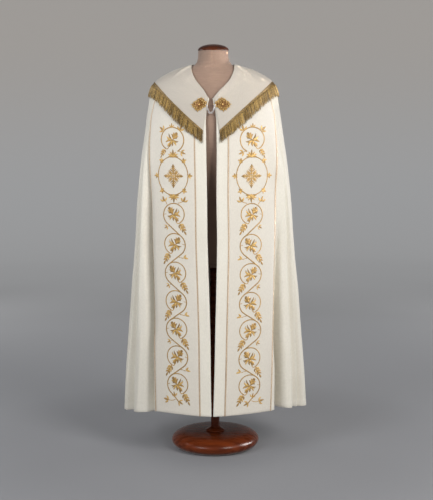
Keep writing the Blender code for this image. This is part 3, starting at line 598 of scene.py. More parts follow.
    def collar_top(self, place: Array) -> Array:
        """Height of the neckline over a column of the collar."""
        share = self.collar_share(place, np.full(np.shape(place), COLLAR_EDGE[-1].height))
        return read_table(NECKLINE, "share", "height", share)

    def measured_edge(self, place: Array) -> Array:
        """Height at which a column of the collar meets the straight edge between two corners, by halves."""
        low = np.full(np.shape(place), self.FRONT_HEM)
        high = self.collar_top(place)
        front_run = SHOULDER_CORNER.from_centre - FRONT_CORNER.from_centre
        for _ in range(40):
            middle = (low + high) / 2
            point = self.collar_point(Side.RIGHT, place, middle)
            reach = (point[:, 0] - FRONT_CORNER.from_centre) / front_run
            front = FRONT_CORNER.height + reach * (SHOULDER_CORNER.height - FRONT_CORNER.height)
            reach = point[:, 0] / SHOULDER_CORNER.from_centre
            back = BACK_POINT.height + reach * (SHOULDER_CORNER.height - BACK_POINT.height)
            above = middle > np.where(point[:, 1] < 0, front, back)
            high, low = np.where(above, middle, high), np.where(above, low, middle)
        return (low + high) / 2

    def collar_edge(self, place: Array) -> Array:
        """Height of the collar's outer edge at a place."""
        return np.interp(place, self.edge_places, self.edge_heights)

    def collar(self, side: Side, place: Array, drop: Array, rise: Array) -> Array:
        """Points over the collar's surface: drop runs from the neckline (0) to the edge (1)."""
        def surface(across: Array, down: Array) -> Array:
            across = np.clip(across, 0.0, 1.0)
            top = self.collar_top(across)
            return self.collar_point(side, across, top + (self.collar_edge(across) - top) * down)
        return self.moved_out(surface, side, place, drop, rise)

    def under_edge(self, side: Side, place: Array, below: Array, rise: Array) -> Array:
        """A point at a drop below the collar's edge, moved out from the surface under it."""
        def surface(across: Array, down: Array) -> Array:
            across = np.clip(across, 0.0, 1.0)
            return self.collar_point(side, across, self.collar_edge(across) - down)
        return self.moved_out(surface, side, place, below, rise)

    def front_frame(self, side: Side, from_centre: float, height: float, rise: float) -> tuple[Array, ...]:
        """A point in front of the collar and its directions: sideways, up and outward."""
        row = int(np.argmin(np.abs(self.heights - height)))
        front = slice(0, int(np.argmax(self.points[row, :, 0])))
        shares = np.linspace(0.0, 1.0, self.COLUMNS)[front]
        arc = np.interp(from_centre, self.points[row, front, 0], shares) * self.half_length(np.array([height]))

        def surface(across: Array, down: Array) -> Array:
            return self.on_section(side, across, height - down, np.zeros(len(across)))
        flat = np.zeros(1)
        point = surface(arc, flat)
        outward = (self.moved_out(surface, side, arc, flat, 1.0) - point)[0]
        sideways = unit(np.cross(outward, (0.0, 0.0, 1.0)))
        return point[0] + outward * rise, sideways, np.cross(sideways, outward), outward


# ------------------------------------------------------------------ meshes
@dataclass
class MeshParts:
    """Closed shapes gathered into one mesh, with a pattern map and a tone for each vertex."""

    vertices: list = field(default_factory=list)
    faces: list = field(default_factory=list)
    maps: list = field(default_factory=list)
    tones: list = field(default_factory=list)
    count: int = 0

    def add(self, points: Array, faces: Sequence[Array], pattern: Array, tone: Union[float, Array] = 0.0) -> None:
        """Add a shape: its points, arrays of faces with the same number of corners, map and tones."""
        self.vertices.append(points.reshape(-1, 3))
        self.faces += [rows + self.count for rows in faces]
        self.maps.append(pattern.reshape(-1, 2))
        self.tones.append(np.broadcast_to(tone, points.shape[:-1]).ravel())
        self.count += len(self.vertices[-1])

    def mesh(self, name: str) -> bpy.types.Mesh:
        """Make the mesh, smooth shaded, with the UV map "thread" and the attribute "tone"."""
        mesh = bpy.data.meshes.new(name)
        faces = [face for rows in self.faces for face in rows.tolist()]
        mesh.from_pydata(np.concatenate(self.vertices).tolist(), [], faces)
        corners = np.empty(len(mesh.loops), dtype=np.int32)
        mesh.loops.foreach_get("vertex_index", corners)
        layer = mesh.uv_layers.new(name="thread")
        layer.data.foreach_set("uv", np.concatenate(self.maps)[corners].astype(np.float32).ravel())
        tone = mesh.attributes.new("tone", "FLOAT", "POINT")
        tone.data.foreach_set("value", np.concatenate(self.tones).astype(np.float32))
        mesh.shade_smooth()
        return mesh


def ring_faces(shapes: int, rings: int, around: int) -> list[Array]:
    """Faces of many tubes, turned outwards: quads between rings of points, and a face at both ends."""
    index = np.arange(shapes * rings * around).reshape(shapes, rings, around)
    after = np.roll(index, -1, axis=2)
    quads = np.stack([index[:, :-1], after[:, :-1], after[:, 1:], index[:, 1:]], axis=-1).reshape(-1, 4)
    return [quads, index[:, 0, ::-1], index[:, -1]]


def tube_points(path: Array, radius: Array) -> Array:
    """Points of round tubes: at each path point a circle in the plane square to the path.

    Args:
        path: points, (shapes, rings, 3).
        radius: radii, (shapes, rings, around).

    Returns:
        Points, (shapes, rings, around, 3).
    """
    run = unit(np.gradient(path, axis=1))
    helper = np.where(np.abs(run[..., 1:2]) < 0.9, np.array([0.0, 1.0, 0.0]), np.array([1.0, 0.0, 0.0]))
    first = unit(np.cross(helper, run))[..., None, :]
    second = np.cross(run, first[..., 0, :])[..., None, :]
    turn = whole_turn(radius.shape[-1])[:, None]
    return path[..., None, :] + radius[..., None] * (np.cos(turn) * first + np.sin(turn) * second)


def shell_mesh(name: str, grid: Grid, thickness: float, side: Side = Side.RIGHT, relief: Optional[Array] = None,
               tone: float = 0.0) -> bpy.types.Mesh:
    """Make a closed wall of cloth with round edges from the grid of its middle.

    The outward direction is the cross product of the grid's slopes down and along. The outer face stands
    half a thickness (and the relief) out, the inner one as far in, and an edge row half a thickness past
    the cloth's end closes them.

    Args:
        name: name of the mesh.
        grid: points, (columns, rows, 3), and the cloth's own coordinates in metres, (columns, rows, 2).
        thickness: the wall.
        side: the half of the garment; on the left the columns run the other way.
        relief: how far the outer face is raised, (columns, rows).
        tone: the tone of all its points.

    Returns:
        The mesh, with material 0 outside and 1 inside.
    """
    middle, pattern = (rows[::side.value] for rows in grid)
    columns, rows = middle.shape[:2]
    along, fall = np.gradient(middle, axis=0), np.gradient(middle, axis=1)
    outward, along, fall = unit(np.cross(fall, along)), unit(along), unit(fall)
    raised = np.zeros((columns, rows)) if relief is None else relief[::side.value]
    outer = middle + outward * (thickness / 2 + raised)[..., None]
    inner = middle - outward * thickness / 2
    index = np.arange(columns * rows).reshape(columns, rows)
    loop = np.concatenate([index[:-1, 0], index[-1, :-1], index[:0:-1, -1], index[0, :0:-1]])
    past = np.zeros((columns, rows, 3))
    past[0] -= along[0]
    past[-1] += along[-1]
    past[:, 0] -= fall[:, 0]
    past[:, -1] += fall[:, -1]
    edge = unit(past.reshape(-1, 3)[loop]) * thickness / 2
    edge = middle.reshape(-1, 3)[loop] + edge + (outward * raised[..., None] / 2).reshape(-1, 3)[loop]
    total = columns * rows
    front = np.stack([index[:-1, :-1], index[:-1, 1:], index[1:, 1:], index[1:, :-1]], axis=-1).reshape(-1, 4)
    rim = 2 * total + np.arange(len(loop))
    rim_next, loop_next = np.roll(rim, -1), np.roll(loop, -1)
    faces = np.concatenate([
        front, front[:, ::-1] + total,
        np.stack([loop, loop_next, rim_next, rim], axis=1),
        np.stack([rim, rim_next, loop_next + total, loop + total], axis=1),
    ])
    flat = pattern.reshape(-1, 2)
    parts = MeshParts()
    parts.add(np.concatenate([outer.reshape(-1, 3), inner.reshape(-1, 3), edge]), [faces],
              np.concatenate([flat, flat, flat[loop]]), tone)
    mesh = parts.mesh(name)
    slots = np.zeros(len(faces), dtype=np.int32)
    slots[len(front):2 * len(front)] = 1
    slots[2 * len(front) + len(loop):] = 1
    mesh.polygons.foreach_set("material_index", slots)
    return mesh


def joined(left: Grid, right: Grid) -> Grid:
    """Join both halves' points and cloth coordinates at the middle of the back."""
    (left_points, left_map), (points, pattern) = left, right
    middle = points[-1:].copy()
    middle[..., 0] = 0.0
    girth = pattern[-1:, :, :1] * 2
    left_map = left_map + np.concatenate([girth, np.zeros_like(girth)], axis=-1)
    return (np.concatenate([points[:-1], middle, left_points[-2::-1]]),
            np.concatenate([pattern, left_map[-2::-1]]))


def circles(radius: Array, height: Array, around: int) -> Array:
    """Points of level circles, (circles, around, 3)."""
    turn, radius = whole_turn(around), radius[:, None]
    up = np.broadcast_to(height[:, None], (len(radius), around))
    return np.stack([radius * np.cos(turn), radius * np.sin(turn), up], axis=-1)


def turned_faces(rows: int, around: int) -> list[Array]:
    """Quads between rings, and fans from the next two points to the first ring and to the last."""
    index = np.arange(rows * around).reshape(rows, around)
    after = np.roll(index, -1, axis=1)
    quads = np.stack([index[:-1], index[1:], after[1:], after[:-1]], axis=-1).reshape(-1, 4)
    top, foot = np.full(around, index.size), np.full(around, index.size + 1)
    return [quads, np.stack([top, index[0], after[0]], axis=1), np.stack([foot, after[-1], index[-1]], axis=1)]


def turned_mesh(name: str, rings: Array, top: float, foot: float) -> bpy.types.Mesh:
    """Make a closed mesh from rings round the axis, from the top down, with its ends on the axis."""
    points = np.concatenate([rings.reshape(-1, 3), [(0, 0, top), (0, 0, foot)]])
    pattern = np.stack([np.arctan2(points[:, 1], points[:, 0]), points[:, 2]], axis=1)
    parts = MeshParts()
    parts.add(points, turned_faces(*rings.shape[:2]), pattern)
    return parts.mesh(name)


def add_piece(
    mesh: bpy.types.Mesh, materials: Sequence[bpy.types.Material], nodes: Sequence[str] = ()
) -> bpy.types.Object:
    """Link a piece, dress it, attach it to the frame's root and hide the frame's nodes that it stands for.

    Args:
        mesh: its mesh, in place.
        materials: its materials, in the order of the mesh's slots.
        nodes: the frame's nodes that it stands for.

    Returns:
        The new object.
    """
    for material in materials:
        mesh.materials.append(material)
    piece = bpy.data.objects.new(mesh.name, mesh)
    bpy.context.scene.collection.objects.link(piece)
    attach(piece, "root")
    if nodes:
        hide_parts(*nodes)
    LOG.info("%s: %d faces", piece.name, len(mesh.polygons))
    return piece


# ------------------------------------------------------------------ finishes
@dataclass(frozen=True)
class Value:
    """A shader's value: what is added to it, multiplied by it and so on becomes a Math node."""

    graph: "Graph"
    socket: bpy.types.NodeSocket

    def math(self, operation: str, other: object = 0.0) -> "Value":
        """The result of a Math node with this value first."""
        return self.graph.node("Math", {0: self, 1: other}, operation=operation)

    __add__ = partialmethod(math, "ADD")
    __sub__ = partialmethod(math, "SUBTRACT")
    __mul__ = partialmethod(math, "MULTIPLY")
    __truediv__ = partialmethod(math, "DIVIDE")
    __mod__ = partialmethod(math, "FLOORED_MODULO")

    def rest(self) -> "Value":
        """What this value leaves of 1."""
        return self.graph.node("Math", {0: 1.0, 1: self}, operation="SUBTRACT")

    def between(self, low: float, high: float, top: float = 1.0, curve: str = "LINEAR") -> "Value":
        """A step from 0, where this value is low, to top, where it is high."""
        return self.graph.node("MapRange", {"Value": self, "From Min": low, "From Max": high, "To Max": top},
                               interpolation_type=curve)


@dataclass(frozen=True)
class Graph:
    """Adds nodes to a tree and links them."""

    tree: bpy.types.NodeTree

    def node(
        self, kind: str, inputs: Optional[dict] = None, out: Union[int, str] = 0, **settings: object
    ) -> Value:
        """Add a node.

        Args:
            kind: the last part of Blender's name of its type.
            inputs: values or numbers for its inputs, by name or number.
            out: the output that is wanted.
            settings: its own settings.

        Returns:
            The output.
        """
        node = self.tree.nodes.new(f"ShaderNode{kind}")
        for name, value in settings.items():
            setattr(node, name, value)
        for name, value in (inputs or {}).items():
            self.feed(node.inputs[name], value)
        return Value(self, node.outputs[out])

    def feed(self, socket: bpy.types.NodeSocket, value: object) -> None:
        """Link a value to an input, or set the input to a number or a colour."""
        if isinstance(value, Value):
            self.tree.links.new(value.socket, socket)
        else:
            socket.default_value = (*value, 1.0) if socket.type == "RGBA" else value

    def place(self) -> Value:
        """The place on the object."""
        return self.node("TexCoord", out="Object")

    def thread_map(self) -> Value:
        """The cloth's or thread's own coordinates."""
        return self.node("UVMap", uv_map="thread")

    def tone(self) -> Value:
        """The tone that the mesh gives each point."""
        return self.node("Attribute", out="Fac", attribute_name="tone")

    def axes(self, vector: Value) -> list[Value]:
        """The three parts of a vector."""
        node = self.node("SeparateXYZ", {"Vector": vector}).socket.node
        return [Value(self, socket) for socket in node.outputs]

    def mix(self, factor: Value, first: object, second: object) -> Value:
        """A mix of two colours."""
        return self.node("Mix", {0: factor, 6: first, 7: second}, 2, data_type="RGBA")

    def noise(self, vector: Value, scale: object, detail: float = 3.0, rough: float = 0.55,
              stretch: Optional[Sequence[float]] = None) -> Value:
        """A noise, stretched where a scale for each axis is given."""
        if stretch:
            vector = self.node("Mapping", {"Vector": vector, "Scale": stretch})
        return self.node("TexNoise", {"Vector": vector, "Scale": scale, "Detail": detail, "Roughness": rough})

    def bump(self, height: Value, distance: float, strength: float) -> Value:
        """A normal from a height."""
        return self.node("Bump", {"Height": height, "Distance": distance, "Strength": strength})

    def effect(self, effect: "Effect", vector: Value, *sizes: float) -> Value:
        """Place a shared effect with its own sizes."""
        inputs = dict(enumerate((vector, *sizes)))
        return self.node("Group", inputs, node_tree=shared_group(effect))


def weave(graph: Graph, vector: Value, pitch: Value) -> Value:
    """Plain weave: |sin| ridges of warp and weft in turn, as a checker of whole threads says."""
    u, v = (axis / pitch for axis in graph.axes(vector)[:2])
    warp, weft = ((axis * math.pi).math("SINE").math("ABSOLUTE") for axis in (u, v))
    over = (u.math("FLOOR") + v.math("FLOOR")) % 2.0
    return warp * over + weft * over.rest()


def mottle(graph: Graph, vector: Value, broad: Value, fine: Value) -> Value:
    """A broad and a fine noise, mixed."""
    return graph.noise(vector, broad, rough=0.5) * 0.65 + graph.noise(vector, fine, rough=0.5) * 0.35


def twist(graph: Graph, vector: Value, pitch: Value, slant: Value) -> Value:
    """Twisted thread: the sine of a slanted stripe, from 0 to 1."""
    x, y, _ = graph.axes(vector)
    return ((x + y * slant) / pitch * (2 * math.pi)).math("SINE") * 0.5 + 0.5


class Effect(Enum):
    """The effects that several finishes share: name, the function that draws it and its sizes."""

    WEAVE = ("plain weave", weave, "Pitch")
    MOTTLE = ("mottle", mottle, "Broad", "Fine")
    TWIST = ("twisted thread", twist, "Pitch", "Slant")


def shared_group(effect: Effect) -> bpy.types.NodeTree:
    """Find an effect's node group, with a vector and its sizes in and a value out, or build it."""
    name, draw, *sizes = effect.value
    if name in bpy.data.node_groups:
        return bpy.data.node_groups[name]
    tree = bpy.data.node_groups.new(name, "ShaderNodeTree")
    tree.interface.new_socket("Vector", in_out="INPUT", socket_type="NodeSocketVector")
    for size in sizes:
        tree.interface.new_socket(size, in_out="INPUT", socket_type="NodeSocketFloat")
    tree.interface.new_socket("Value", in_out="OUTPUT", socket_type="NodeSocketFloat")
    start, end = tree.nodes.new("NodeGroupInput"), tree.nodes.new("NodeGroupOutput")
    graph = Graph(tree)
    inputs = [Value(graph, socket) for socket in start.outputs[:len(sizes) + 1]]
    graph.feed(end.inputs[0], draw(graph, *inputs))
    return tree


def scaled(colour: Colour, factor: float) -> Colour:
    """A colour times a factor."""
    return tuple(factor * value for value in colour)


@dataclass(frozen=True)
class Finish:
    """A material's name; its kinds say what goes into the shader."""

    name: str

    def inputs(self, graph: Graph) -> dict:
        """What goes into the Principled shader, by input."""
        raise NotImplementedError

    def make(self) -> bpy.types.Material:
        """Build the material."""
        material = bpy.data.materials.new(self.name)
        material.use_nodes = True
        graph = Graph(material.node_tree)
        shader = graph.tree.nodes["Principled BSDF"]
        for name, value in self.inputs(graph).items():
            graph.feed(shader.inputs[name], value)
        return material


@dataclass(frozen=True)
class ClothFinish(Finish):
    """Woven cloth: two near colours mottled over a plain weave, with slubs and a soft sheen."""

    colour: Colour
    shade: Colour
    roughness: float = 0.75
    pitch: float = 0.0009
    sheen: float = 0.25
    relief: float = 0.00012

    def inputs(self, graph: Graph) -> dict:
        """Colour, roughness, sheen and weave."""
        cloth = graph.thread_map()
        threads = graph.effect(Effect.WEAVE, cloth, self.pitch)
        cloud = graph.effect(Effect.MOTTLE, cloth, 9.0, 240.0)
        slubs = graph.noise(cloth, 1.0, 2.0, stretch=(190.0, 90.0, 1.0))
        even = graph.mix(cloud.between(0.35, 0.65), self.shade, self.colour)
        base = graph.mix(slubs.between(0.35, 0.68, 0.30), even, scaled(self.shade, 0.82))
        return {
            # Darker between the threads, where they dip under each other: painted shade.
            "Base Color": graph.mix(threads.rest() * 0.22, base, scaled(self.shade, 0.8)),
            "Roughness": cloud * 0.15 + (self.roughness - 0.08),
            "Sheen Weight": self.sheen,
            "Sheen Roughness": 0.4,
            "Normal": graph.bump(threads + slubs * 5.0, self.relief, 0.8),
        }


@dataclass(frozen=True)
class ThreadFinish(Finish):
    """Shining thread: the piece's tone picks one of three colours, and slanted stripes are its strands."""

    bright: Colour
    middle: Colour
    dull: Colour
    pitch: float = 0.0009
    slant: float = 0.6
    metallic: float = 0.30
    roughness: float = 0.45
    relief: float = 0.0002
    # How far the grooves between strands are darkened: painted shade.
    groove: float = 0.40
    mottle: float = 0.8
    speckle: float = 120.0

    def inputs(self, graph: Graph) -> dict:
        """Colour, roughness, metallic share and strands."""
        strands = graph.effect(Effect.TWIST, graph.thread_map(), self.pitch, self.slant)
        cloud = graph.effect(Effect.MOTTLE, graph.place(), self.speckle, self.speckle * 3)
        shifted = graph.tone() + (cloud - 0.5) * (self.mottle * 2)
        light = graph.mix(shifted.between(0.0, 0.5), self.bright, self.middle)
        colour = graph.mix(shifted.between(0.5, 1.0), light, self.dull)
        return {
            # Darker in the grooves between the strands: painted shade.
            "Base Color": graph.mix(strands.rest() * self.groove, colour, scaled(self.dull, 0.5)),
            "Roughness": cloud * 0.2 + (self.roughness - 0.1),
            "Metallic": self.metallic,
            "Normal": graph.bump(strands, self.relief, 0.8),
        }


@dataclass(frozen=True)
class MetalFinish(Finish):
    """Cast or drawn metal: bright where the tone is 1, darkened in its hollows where it is 0."""

    bright: Colour
    hollow: Colour
    roughness: float = 0.3
    metallic: float = 1.0

    def inputs(self, graph: Graph) -> dict:
        """Colour, roughness, metallic share and a faint unevenness."""
        cloud = graph.effect(Effect.MOTTLE, graph.place(), 180.0, 1400.0)
        worn = graph.node("Clamp", {"Value": graph.tone() + (cloud - 0.5) * 0.7})
        return {
            "Base Color": graph.mix(worn, self.hollow, self.bright),
            "Roughness": cloud * 0.25 + (self.roughness - 0.12),
            "Metallic": self.metallic,
            "Normal": graph.bump(cloud, 0.0003, 0.35),
        }


@dataclass(frozen=True)
class WoodFinish(Finish):
    """Polished wood: stretched grain and pores under a clear coat."""

    colour: Colour
    grain: Colour
    roughness: float = 0.28

    def inputs(self, graph: Graph) -> dict:
        """Colour, roughness, coat and pores."""
        grain, pores = (graph.noise(graph.place(), scale, detail, stretch=(3.0, 26.0, 26.0))
                        for scale, detail in ((2.2, 6.0), (26.0, 2.0)))
        colour = graph.mix(grain.between(0.34, 0.66), self.grain, self.colour)
        return {
            "Base Color": graph.mix(pores.between(0.60, 0.72, 0.35), colour, scaled(self.grain, 0.4)),
            "Roughness": grain * 0.15 + (self.roughness - 0.08),
            "Specular IOR Level": 0.15,
            "Coat Weight": 0.15,
            "Coat Roughness": 0.22,
            "Normal": graph.bump(pores, 0.0002, 0.15),
        }


@dataclass(frozen=True)
class LinenFinish(Finish):
    """Linen stretched over the dress form: slubs that run round it and a fine weave."""

    colour: Colour
    shade: Colour

    def inputs(self, graph: Graph) -> dict:
        """Colour, roughness, sheen and weave."""
        place = graph.place()
        x, y, up = graph.axes(place)
        around = graph.node("CombineXYZ", {"X": x.math("ARCTAN2", y) * 0.1, "Y": up})
        threads = graph.effect(Effect.WEAVE, around, 0.0011)
        slub = graph.noise(place, 3.0, 4.0, stretch=(6.0, 6.0, 160.0))
        base = graph.mix((slub * 0.7 + 0.18).between(0.35, 0.75), self.shade, self.colour)
        return {
            # Darker between the threads, where they dip under each other: painted shade.
            "Base Color": graph.mix(threads.rest() * 0.3, base, self.shade),
            "Roughness": graph.effect(Effect.MOTTLE, place, 14.0, 220.0) * 0.2 + 0.72,
            "Sheen Weight": 0.15,
            "Normal": graph.bump(threads + slub, 0.00025, 0.7),
        }


@dataclass(frozen=True)
class StageFinish(Finish):
    """A plain matt floor, with a faint cloud in it, that turns into a wall lit from behind.

    Colour and glow change with the distance from the middle and with the height; glow_at gives distances and
    strengths. The floor is a little lighter near the middle, where the garment's shade falls, and a little darker
    towards shade_to: painted light and painted shade.
    """

    floor: Colour
    wall: Colour
    low_glow: Colour
    high_glow: Colour
    glow_at: tuple[tuple[float, float], ...]
    reach: float = 10.0
    shade_to: tuple[float, float, float] = (0.6, -0.7, 0.0)

    def inputs(self, graph: Graph) -> dict:
        """Colour, roughness and glow."""
        place = graph.place()
        away = graph.node("VectorMath", {0: place}, "Value", operation="LENGTH")
        forward = graph.node("VectorMath", {0: place, 1: self.shade_to}, "Value", operation="DOT_PRODUCT")
        near, far, high, ahead = (
            value.between(low, top, curve="SMOOTHSTEP") for value, low, top in
            ((away, 0.3, 1.1), (away, 0.9, 7.0), (graph.axes(place)[2], 0.3, 2.4), (forward, -1.0, 1.2))
        )
        # Lighter near the middle, where the garment's shade falls: painted light.
        colour = graph.mix(far, graph.mix(near, self.floor, scaled(self.floor, 0.88)), self.wall)
        # Darker towards shade_to: painted shade; the cloud is a faint random tone.
        shade = graph.noise(place, 0.6, 2.0) * 0.04 + ahead * 0.07
        strength = graph.node("ValToRGB", {"Fac": away / self.reach}, "Color")
        ramp = strength.socket.node.color_ramp
        for number, (distance, glow) in enumerate(self.glow_at):
            stop = ramp.elements[number] if number < 2 else ramp.elements.new(distance / self.reach)
            stop.position, stop.color = distance / self.reach, (glow, glow, glow, 1.0)
        ramp.interpolation = "CARDINAL"
        tint = graph.mix(high, self.low_glow, self.high_glow)
        return {
            "Base Color": graph.mix(shade, colour, (0.0, 0.0, 0.0)),
            "Emission Color": graph.node("Mix", {0: 1.0, 6: strength, 7: tint}, 2, data_type="RGBA",
                                         blend_type="MULTIPLY"),
            "Emission Strength": 1.0,
            "Roughness": 0.95,
            "Specular IOR Level": 0.1,
        }


@dataclass(frozen=True)
class Wardrobe:
    """Every finish of the object."""

    wool: ClothFinish = ClothFinish("cream wool", (0.85, 0.815, 0.725), (0.81, 0.772, 0.675))
    # The collar's wool is the cream wool made darker: painted shade, as the collar slopes back from the light.
    collar_wool: ClothFinish = ClothFinish("cream wool of the collar", (0.575, 0.528, 0.463),
                                           (0.535, 0.488, 0.428))
    lining: ClothFinish = ClothFinish("ivory lining", (0.80, 0.77, 0.70), (0.76, 0.73, 0.66), 0.5, 0.0005)
    satin: ClothFinish = ClothFinish("ivory satin", (0.785, 0.742, 0.655), (0.75, 0.702, 0.620), 0.55, 0.0006,
                                     0.3)
    stitch: ThreadFinish = ThreadFinish("gold embroidery", (0.86, 0.57, 0.19), (0.56, 0.33, 0.095),
                                        (0.290, 0.180, 0.060), groove=0.28)
    braid: ThreadFinish = ThreadFinish("gold braid", (0.68, 0.53, 0.38), (0.56, 0.41, 0.28), (0.40, 0.27, 0.16))
    bullion: ThreadFinish = ThreadFinish("bullion fringe", (0.74, 0.50, 0.165), (0.32, 0.195, 0.052),
                                         (0.085, 0.050, 0.014), 0.0011, 0.25, 0.35, 0.40, mottle=1.9,
                                         speckle=330.0)
    gilt: MetalFinish = MetalFinish("dark gilt filigree", (1.0, 0.71, 0.27), (0.160, 0.050, 0.006), 0.30, 0.40)
    silver: MetalFinish = MetalFinish("silver chain", (0.95, 0.95, 0.97), (0.50, 0.50, 0.53), 0.16, 0.45)
    linen: LinenFinish = LinenFinish("form linen", (0.37, 0.252, 0.185), (0.28, 0.185, 0.140))
    mahogany: WoodFinish = WoodFinish("mahogany", (0.175, 0.034, 0.0080), (0.095, 0.0180, 0.0052))
    # The cap's wood is the mahogany made darker, standing in for the shade on the cap: painted shade.
    cap_wood: WoodFinish = WoodFinish("dark mahogany", (0.100, 0.023, 0.0070), (0.045, 0.0110, 0.0042))


@dataclass
class Mantle:
    """The three panels of the mantle, joined at two side seams."""

    form: ClothForm
    wall: float = 0.0015
    seam_station: float = 4.35
    half_seam: float = 0.0004
    rows: int = 190
    zone_columns: int = 27
    fold_columns: int = 26
    close_columns: int = 44
    hem_turn: float = 0.030
    hem_swell: float = 0.0005
    stitch_depth: float = 0.0006

    def grid(self, side: Side, stations: Array) -> Grid:
        """Points and cloth coordinates of columns of one half."""
        station, drop = np.meshgrid(stations, np.linspace(0.0, 1.0, self.rows), indexing="ij")
        height = self.form.mantle_height(side, station, drop)
        along = self.form.mantle_arc(side, station, height)[1]
        return self.form.mantle(side, station, drop), np.stack([side.value * along, height], axis=-1)

    def folded_stations(self, first: float, last: float, columns: int) -> Array:
        """Even stations from one to another."""
        return np.linspace(first, last, max(3, round((last - first) * columns)))

    def seam_shift(self, side: Side) -> float:
        """Half the seam's gap as a step of station, at mid height."""
        at, half = np.array([self.seam_station]), np.array([0.5])
        ends = [self.form.mantle(side, at + step, half) for step in (-0.01, 0.01)]
        return 0.02 * self.half_seam / float(np.linalg.norm(ends[1] - ends[0]))

    def hem_relief(self, pattern: Array) -> Array:
        """The turned hem: the cloth is a little thicker below its line of stitches, which draw it in."""
        above = pattern[..., 1] - pattern[:, -1:, 1]
        turned = 1 - smooth_step(above, self.hem_turn - 0.002, self.hem_turn + 0.002)
        stitches = np.exp(-(((above - self.hem_turn) / 0.004) ** 2))
        return self.hem_swell * turned - self.stitch_depth * stitches

    def build(self, wardrobe: Wardrobe) -> list[bpy.types.Object]:
        """Build both fronts and the back."""
        finishes = (wardrobe.wool.make(), wardrobe.lining.make())
        pieces, halves = [], []
        for side in Side:
            shift = self.seam_shift(side)
            grid = self.grid(side, np.concatenate([
                np.linspace(0.0, 1.0, self.zone_columns)[:-1],
                self.folded_stations(1.0, 3.0, self.close_columns)[:-1],
                self.folded_stations(3.0, self.seam_station - shift, self.fold_columns),
            ]))
            mesh = shell_mesh(f"front_panel_{side.word}", grid, self.wall, side, self.hem_relief(grid[1]))
            front = add_piece(mesh, finishes, [f"mantle_front_{side.word}"])
            pieces.append(front)
            halves.append(self.grid(side, self.folded_stations(self.seam_station + shift, 9.0, self.fold_columns)))
        grid = joined(*halves)
        mesh = shell_mesh("back_panel", grid, self.wall, relief=self.hem_relief(grid[1]))
        back = add_piece(mesh, finishes, ["mantle_back"])
        return [*pieces, back]


# ------------------------------------------------------------------ the orphreys and their embroidery
class Leaf(NamedTuple):
    """A satin-stitched leaf or petal: its root, direction in degrees, size, bend and tone."""

    x: float
    z: float
    angle: float
    length: float
    width: float
    bend: float = 0.0
    tone: float = 0.3


class Stem(NamedTuple):
    """A stem-stitched line through points of the cloth, with its width and tone."""

    points: Array
    width: float
    tone: float


BUD = (
    Leaf(-6, 8, 128, 22, 14, 0, 0.70), Leaf(-6, 8, 160, 20, 9, 22, 0.30), Leaf(-5, 8, 96, 20, 9, -22, 0.45),
    Leaf(-4, 6, 184, 17, 6, 35, 0.90), Leaf(-3, 7, 72, 17, 6, -35, 0.85), Leaf(-14, 19, 128, 10, 12, 0, 0.90),
)
STAR = (
    Leaf(0, 1, 26, 27, 8, 30, 0.10), Leaf(2, -2, -10, 26, 8, -30, 0.45), Leaf(-2, 1, 200, 26, 7, -35, 0.80),
    Leaf(-1, -2, 228, 25, 8, 30, 0.20), Leaf(3, -4, -52, 26, 9, 15, 0.55), Leaf(1, 3, 56, 25, 6, 25, 0.95),
    Leaf(-3, 3, 128, 16, 11, 0, 0.45), Leaf(0, -4, 268, 20, 7, 25, 0.85), Leaf(4, -8, -28, 18, 6, 25, 0.05),
    Leaf(-2, 0, 154, 23, 5, 25, 0.95), Leaf(-4, -2, 10, 15, 9, 0, 0.65), Leaf(0, -2, 286, 13, 9, 0, 0.15),
)
CALYX = (
    Leaf(6, -13, -60, 15, 9, 0, 0.80), Leaf(6, -12, -18, 12, 6, -20, 0.30), Leaf(5, -13, 206, 12, 6, 20, 0.60),
)
TWIG = (
    Leaf(0, 0, 0, 14, 3, 20, 0.5), Leaf(1, 0, 186, 16, 3, -20, 0.6), Leaf(11, 3, 62, 17, 7, 10, 0.25),
    Leaf(12, 2, 8, 20, 8, -15, 0.05),
)
SPRAY = (
    Leaf(0, 0, -60, 42, 9, 0, 0.45), Leaf(1, -3, -12, 19, 8, -30, 0.15), Leaf(1, -3, -108, 18, 8, 30, 0.80),
    Leaf(7, -12, -16, 19, 8, -30, 0.35), Leaf(7, -12, -104, 18, 8, 30, 0.20), Leaf(13, -22, -20, 16, 7, -22, 0.60),
    Leaf(13, -22, -100, 15, 7, 22, 0.90), Leaf(18, -31, -60, 18, 8, 0, 0.75),
)
STALK = (Leaf(0, 0, -90, 17, 3, 25, 0.70),)
SPRIG = (Leaf(0, 0, 90, 24, 9, 0, 0.65), Leaf(-1, 1, 142, 20, 8, -25, 0.25), Leaf(1, 1, 38, 20, 8, 25, 0.15))
FLORET = (
    Leaf(0, 0, 0, 14, 8, 0, 0.25), Leaf(0, 0, 72, 13, 7, 0, 0.65), Leaf(0, 0, 144, 12, 7, 0, 0.25),
    Leaf(0, 0, 216, 12, 7, 0, 0.50), Leaf(0, 0, 288, 13, 7, 0, 0.15),
)
PALMETTE = (
    Leaf(0, 4, 90, 30, 9, 0, 0.95), Leaf(-2, 3, 120, 24, 8, 15, 0.40), Leaf(2, 3, 60, 24, 8, -15, 0.40),
    Leaf(-4, 2, 148, 23, 9, 20, 0.15), Leaf(4, 2, 32, 23, 9, -20, 0.15), Leaf(-3, 0, 176, 22, 8, 15, 0.55),
    Leaf(3, 0, 4, 22, 8, -15, 0.55), Leaf(0, -3, 90, 15, 17, 0, 0.35),
)
CROSS_ARM = (Leaf(2, 0, 0, 45, 7.5, 0, 0.55), Leaf(28, 0, 0, 19, 9.5, 0, 0.8)) + tuple(
    Leaf(start, 0, turn, length, 4.6, 0, tone)
    for start, length, tone in ((6, 27, 0.30), (15, 20, 0.60), (24, 14, 0.20), (32, 10, 0.55))
    for turn in (45, -45)
)
CROSS_SPRAY = (Leaf(3, 0, 0, 32, 5.0, 0, 0.60),)


class Ring(NamedTuple):
    """Centre of a ring of the vine: towards the front edge from the orphrey's middle, and height."""

    x: float
    z: float


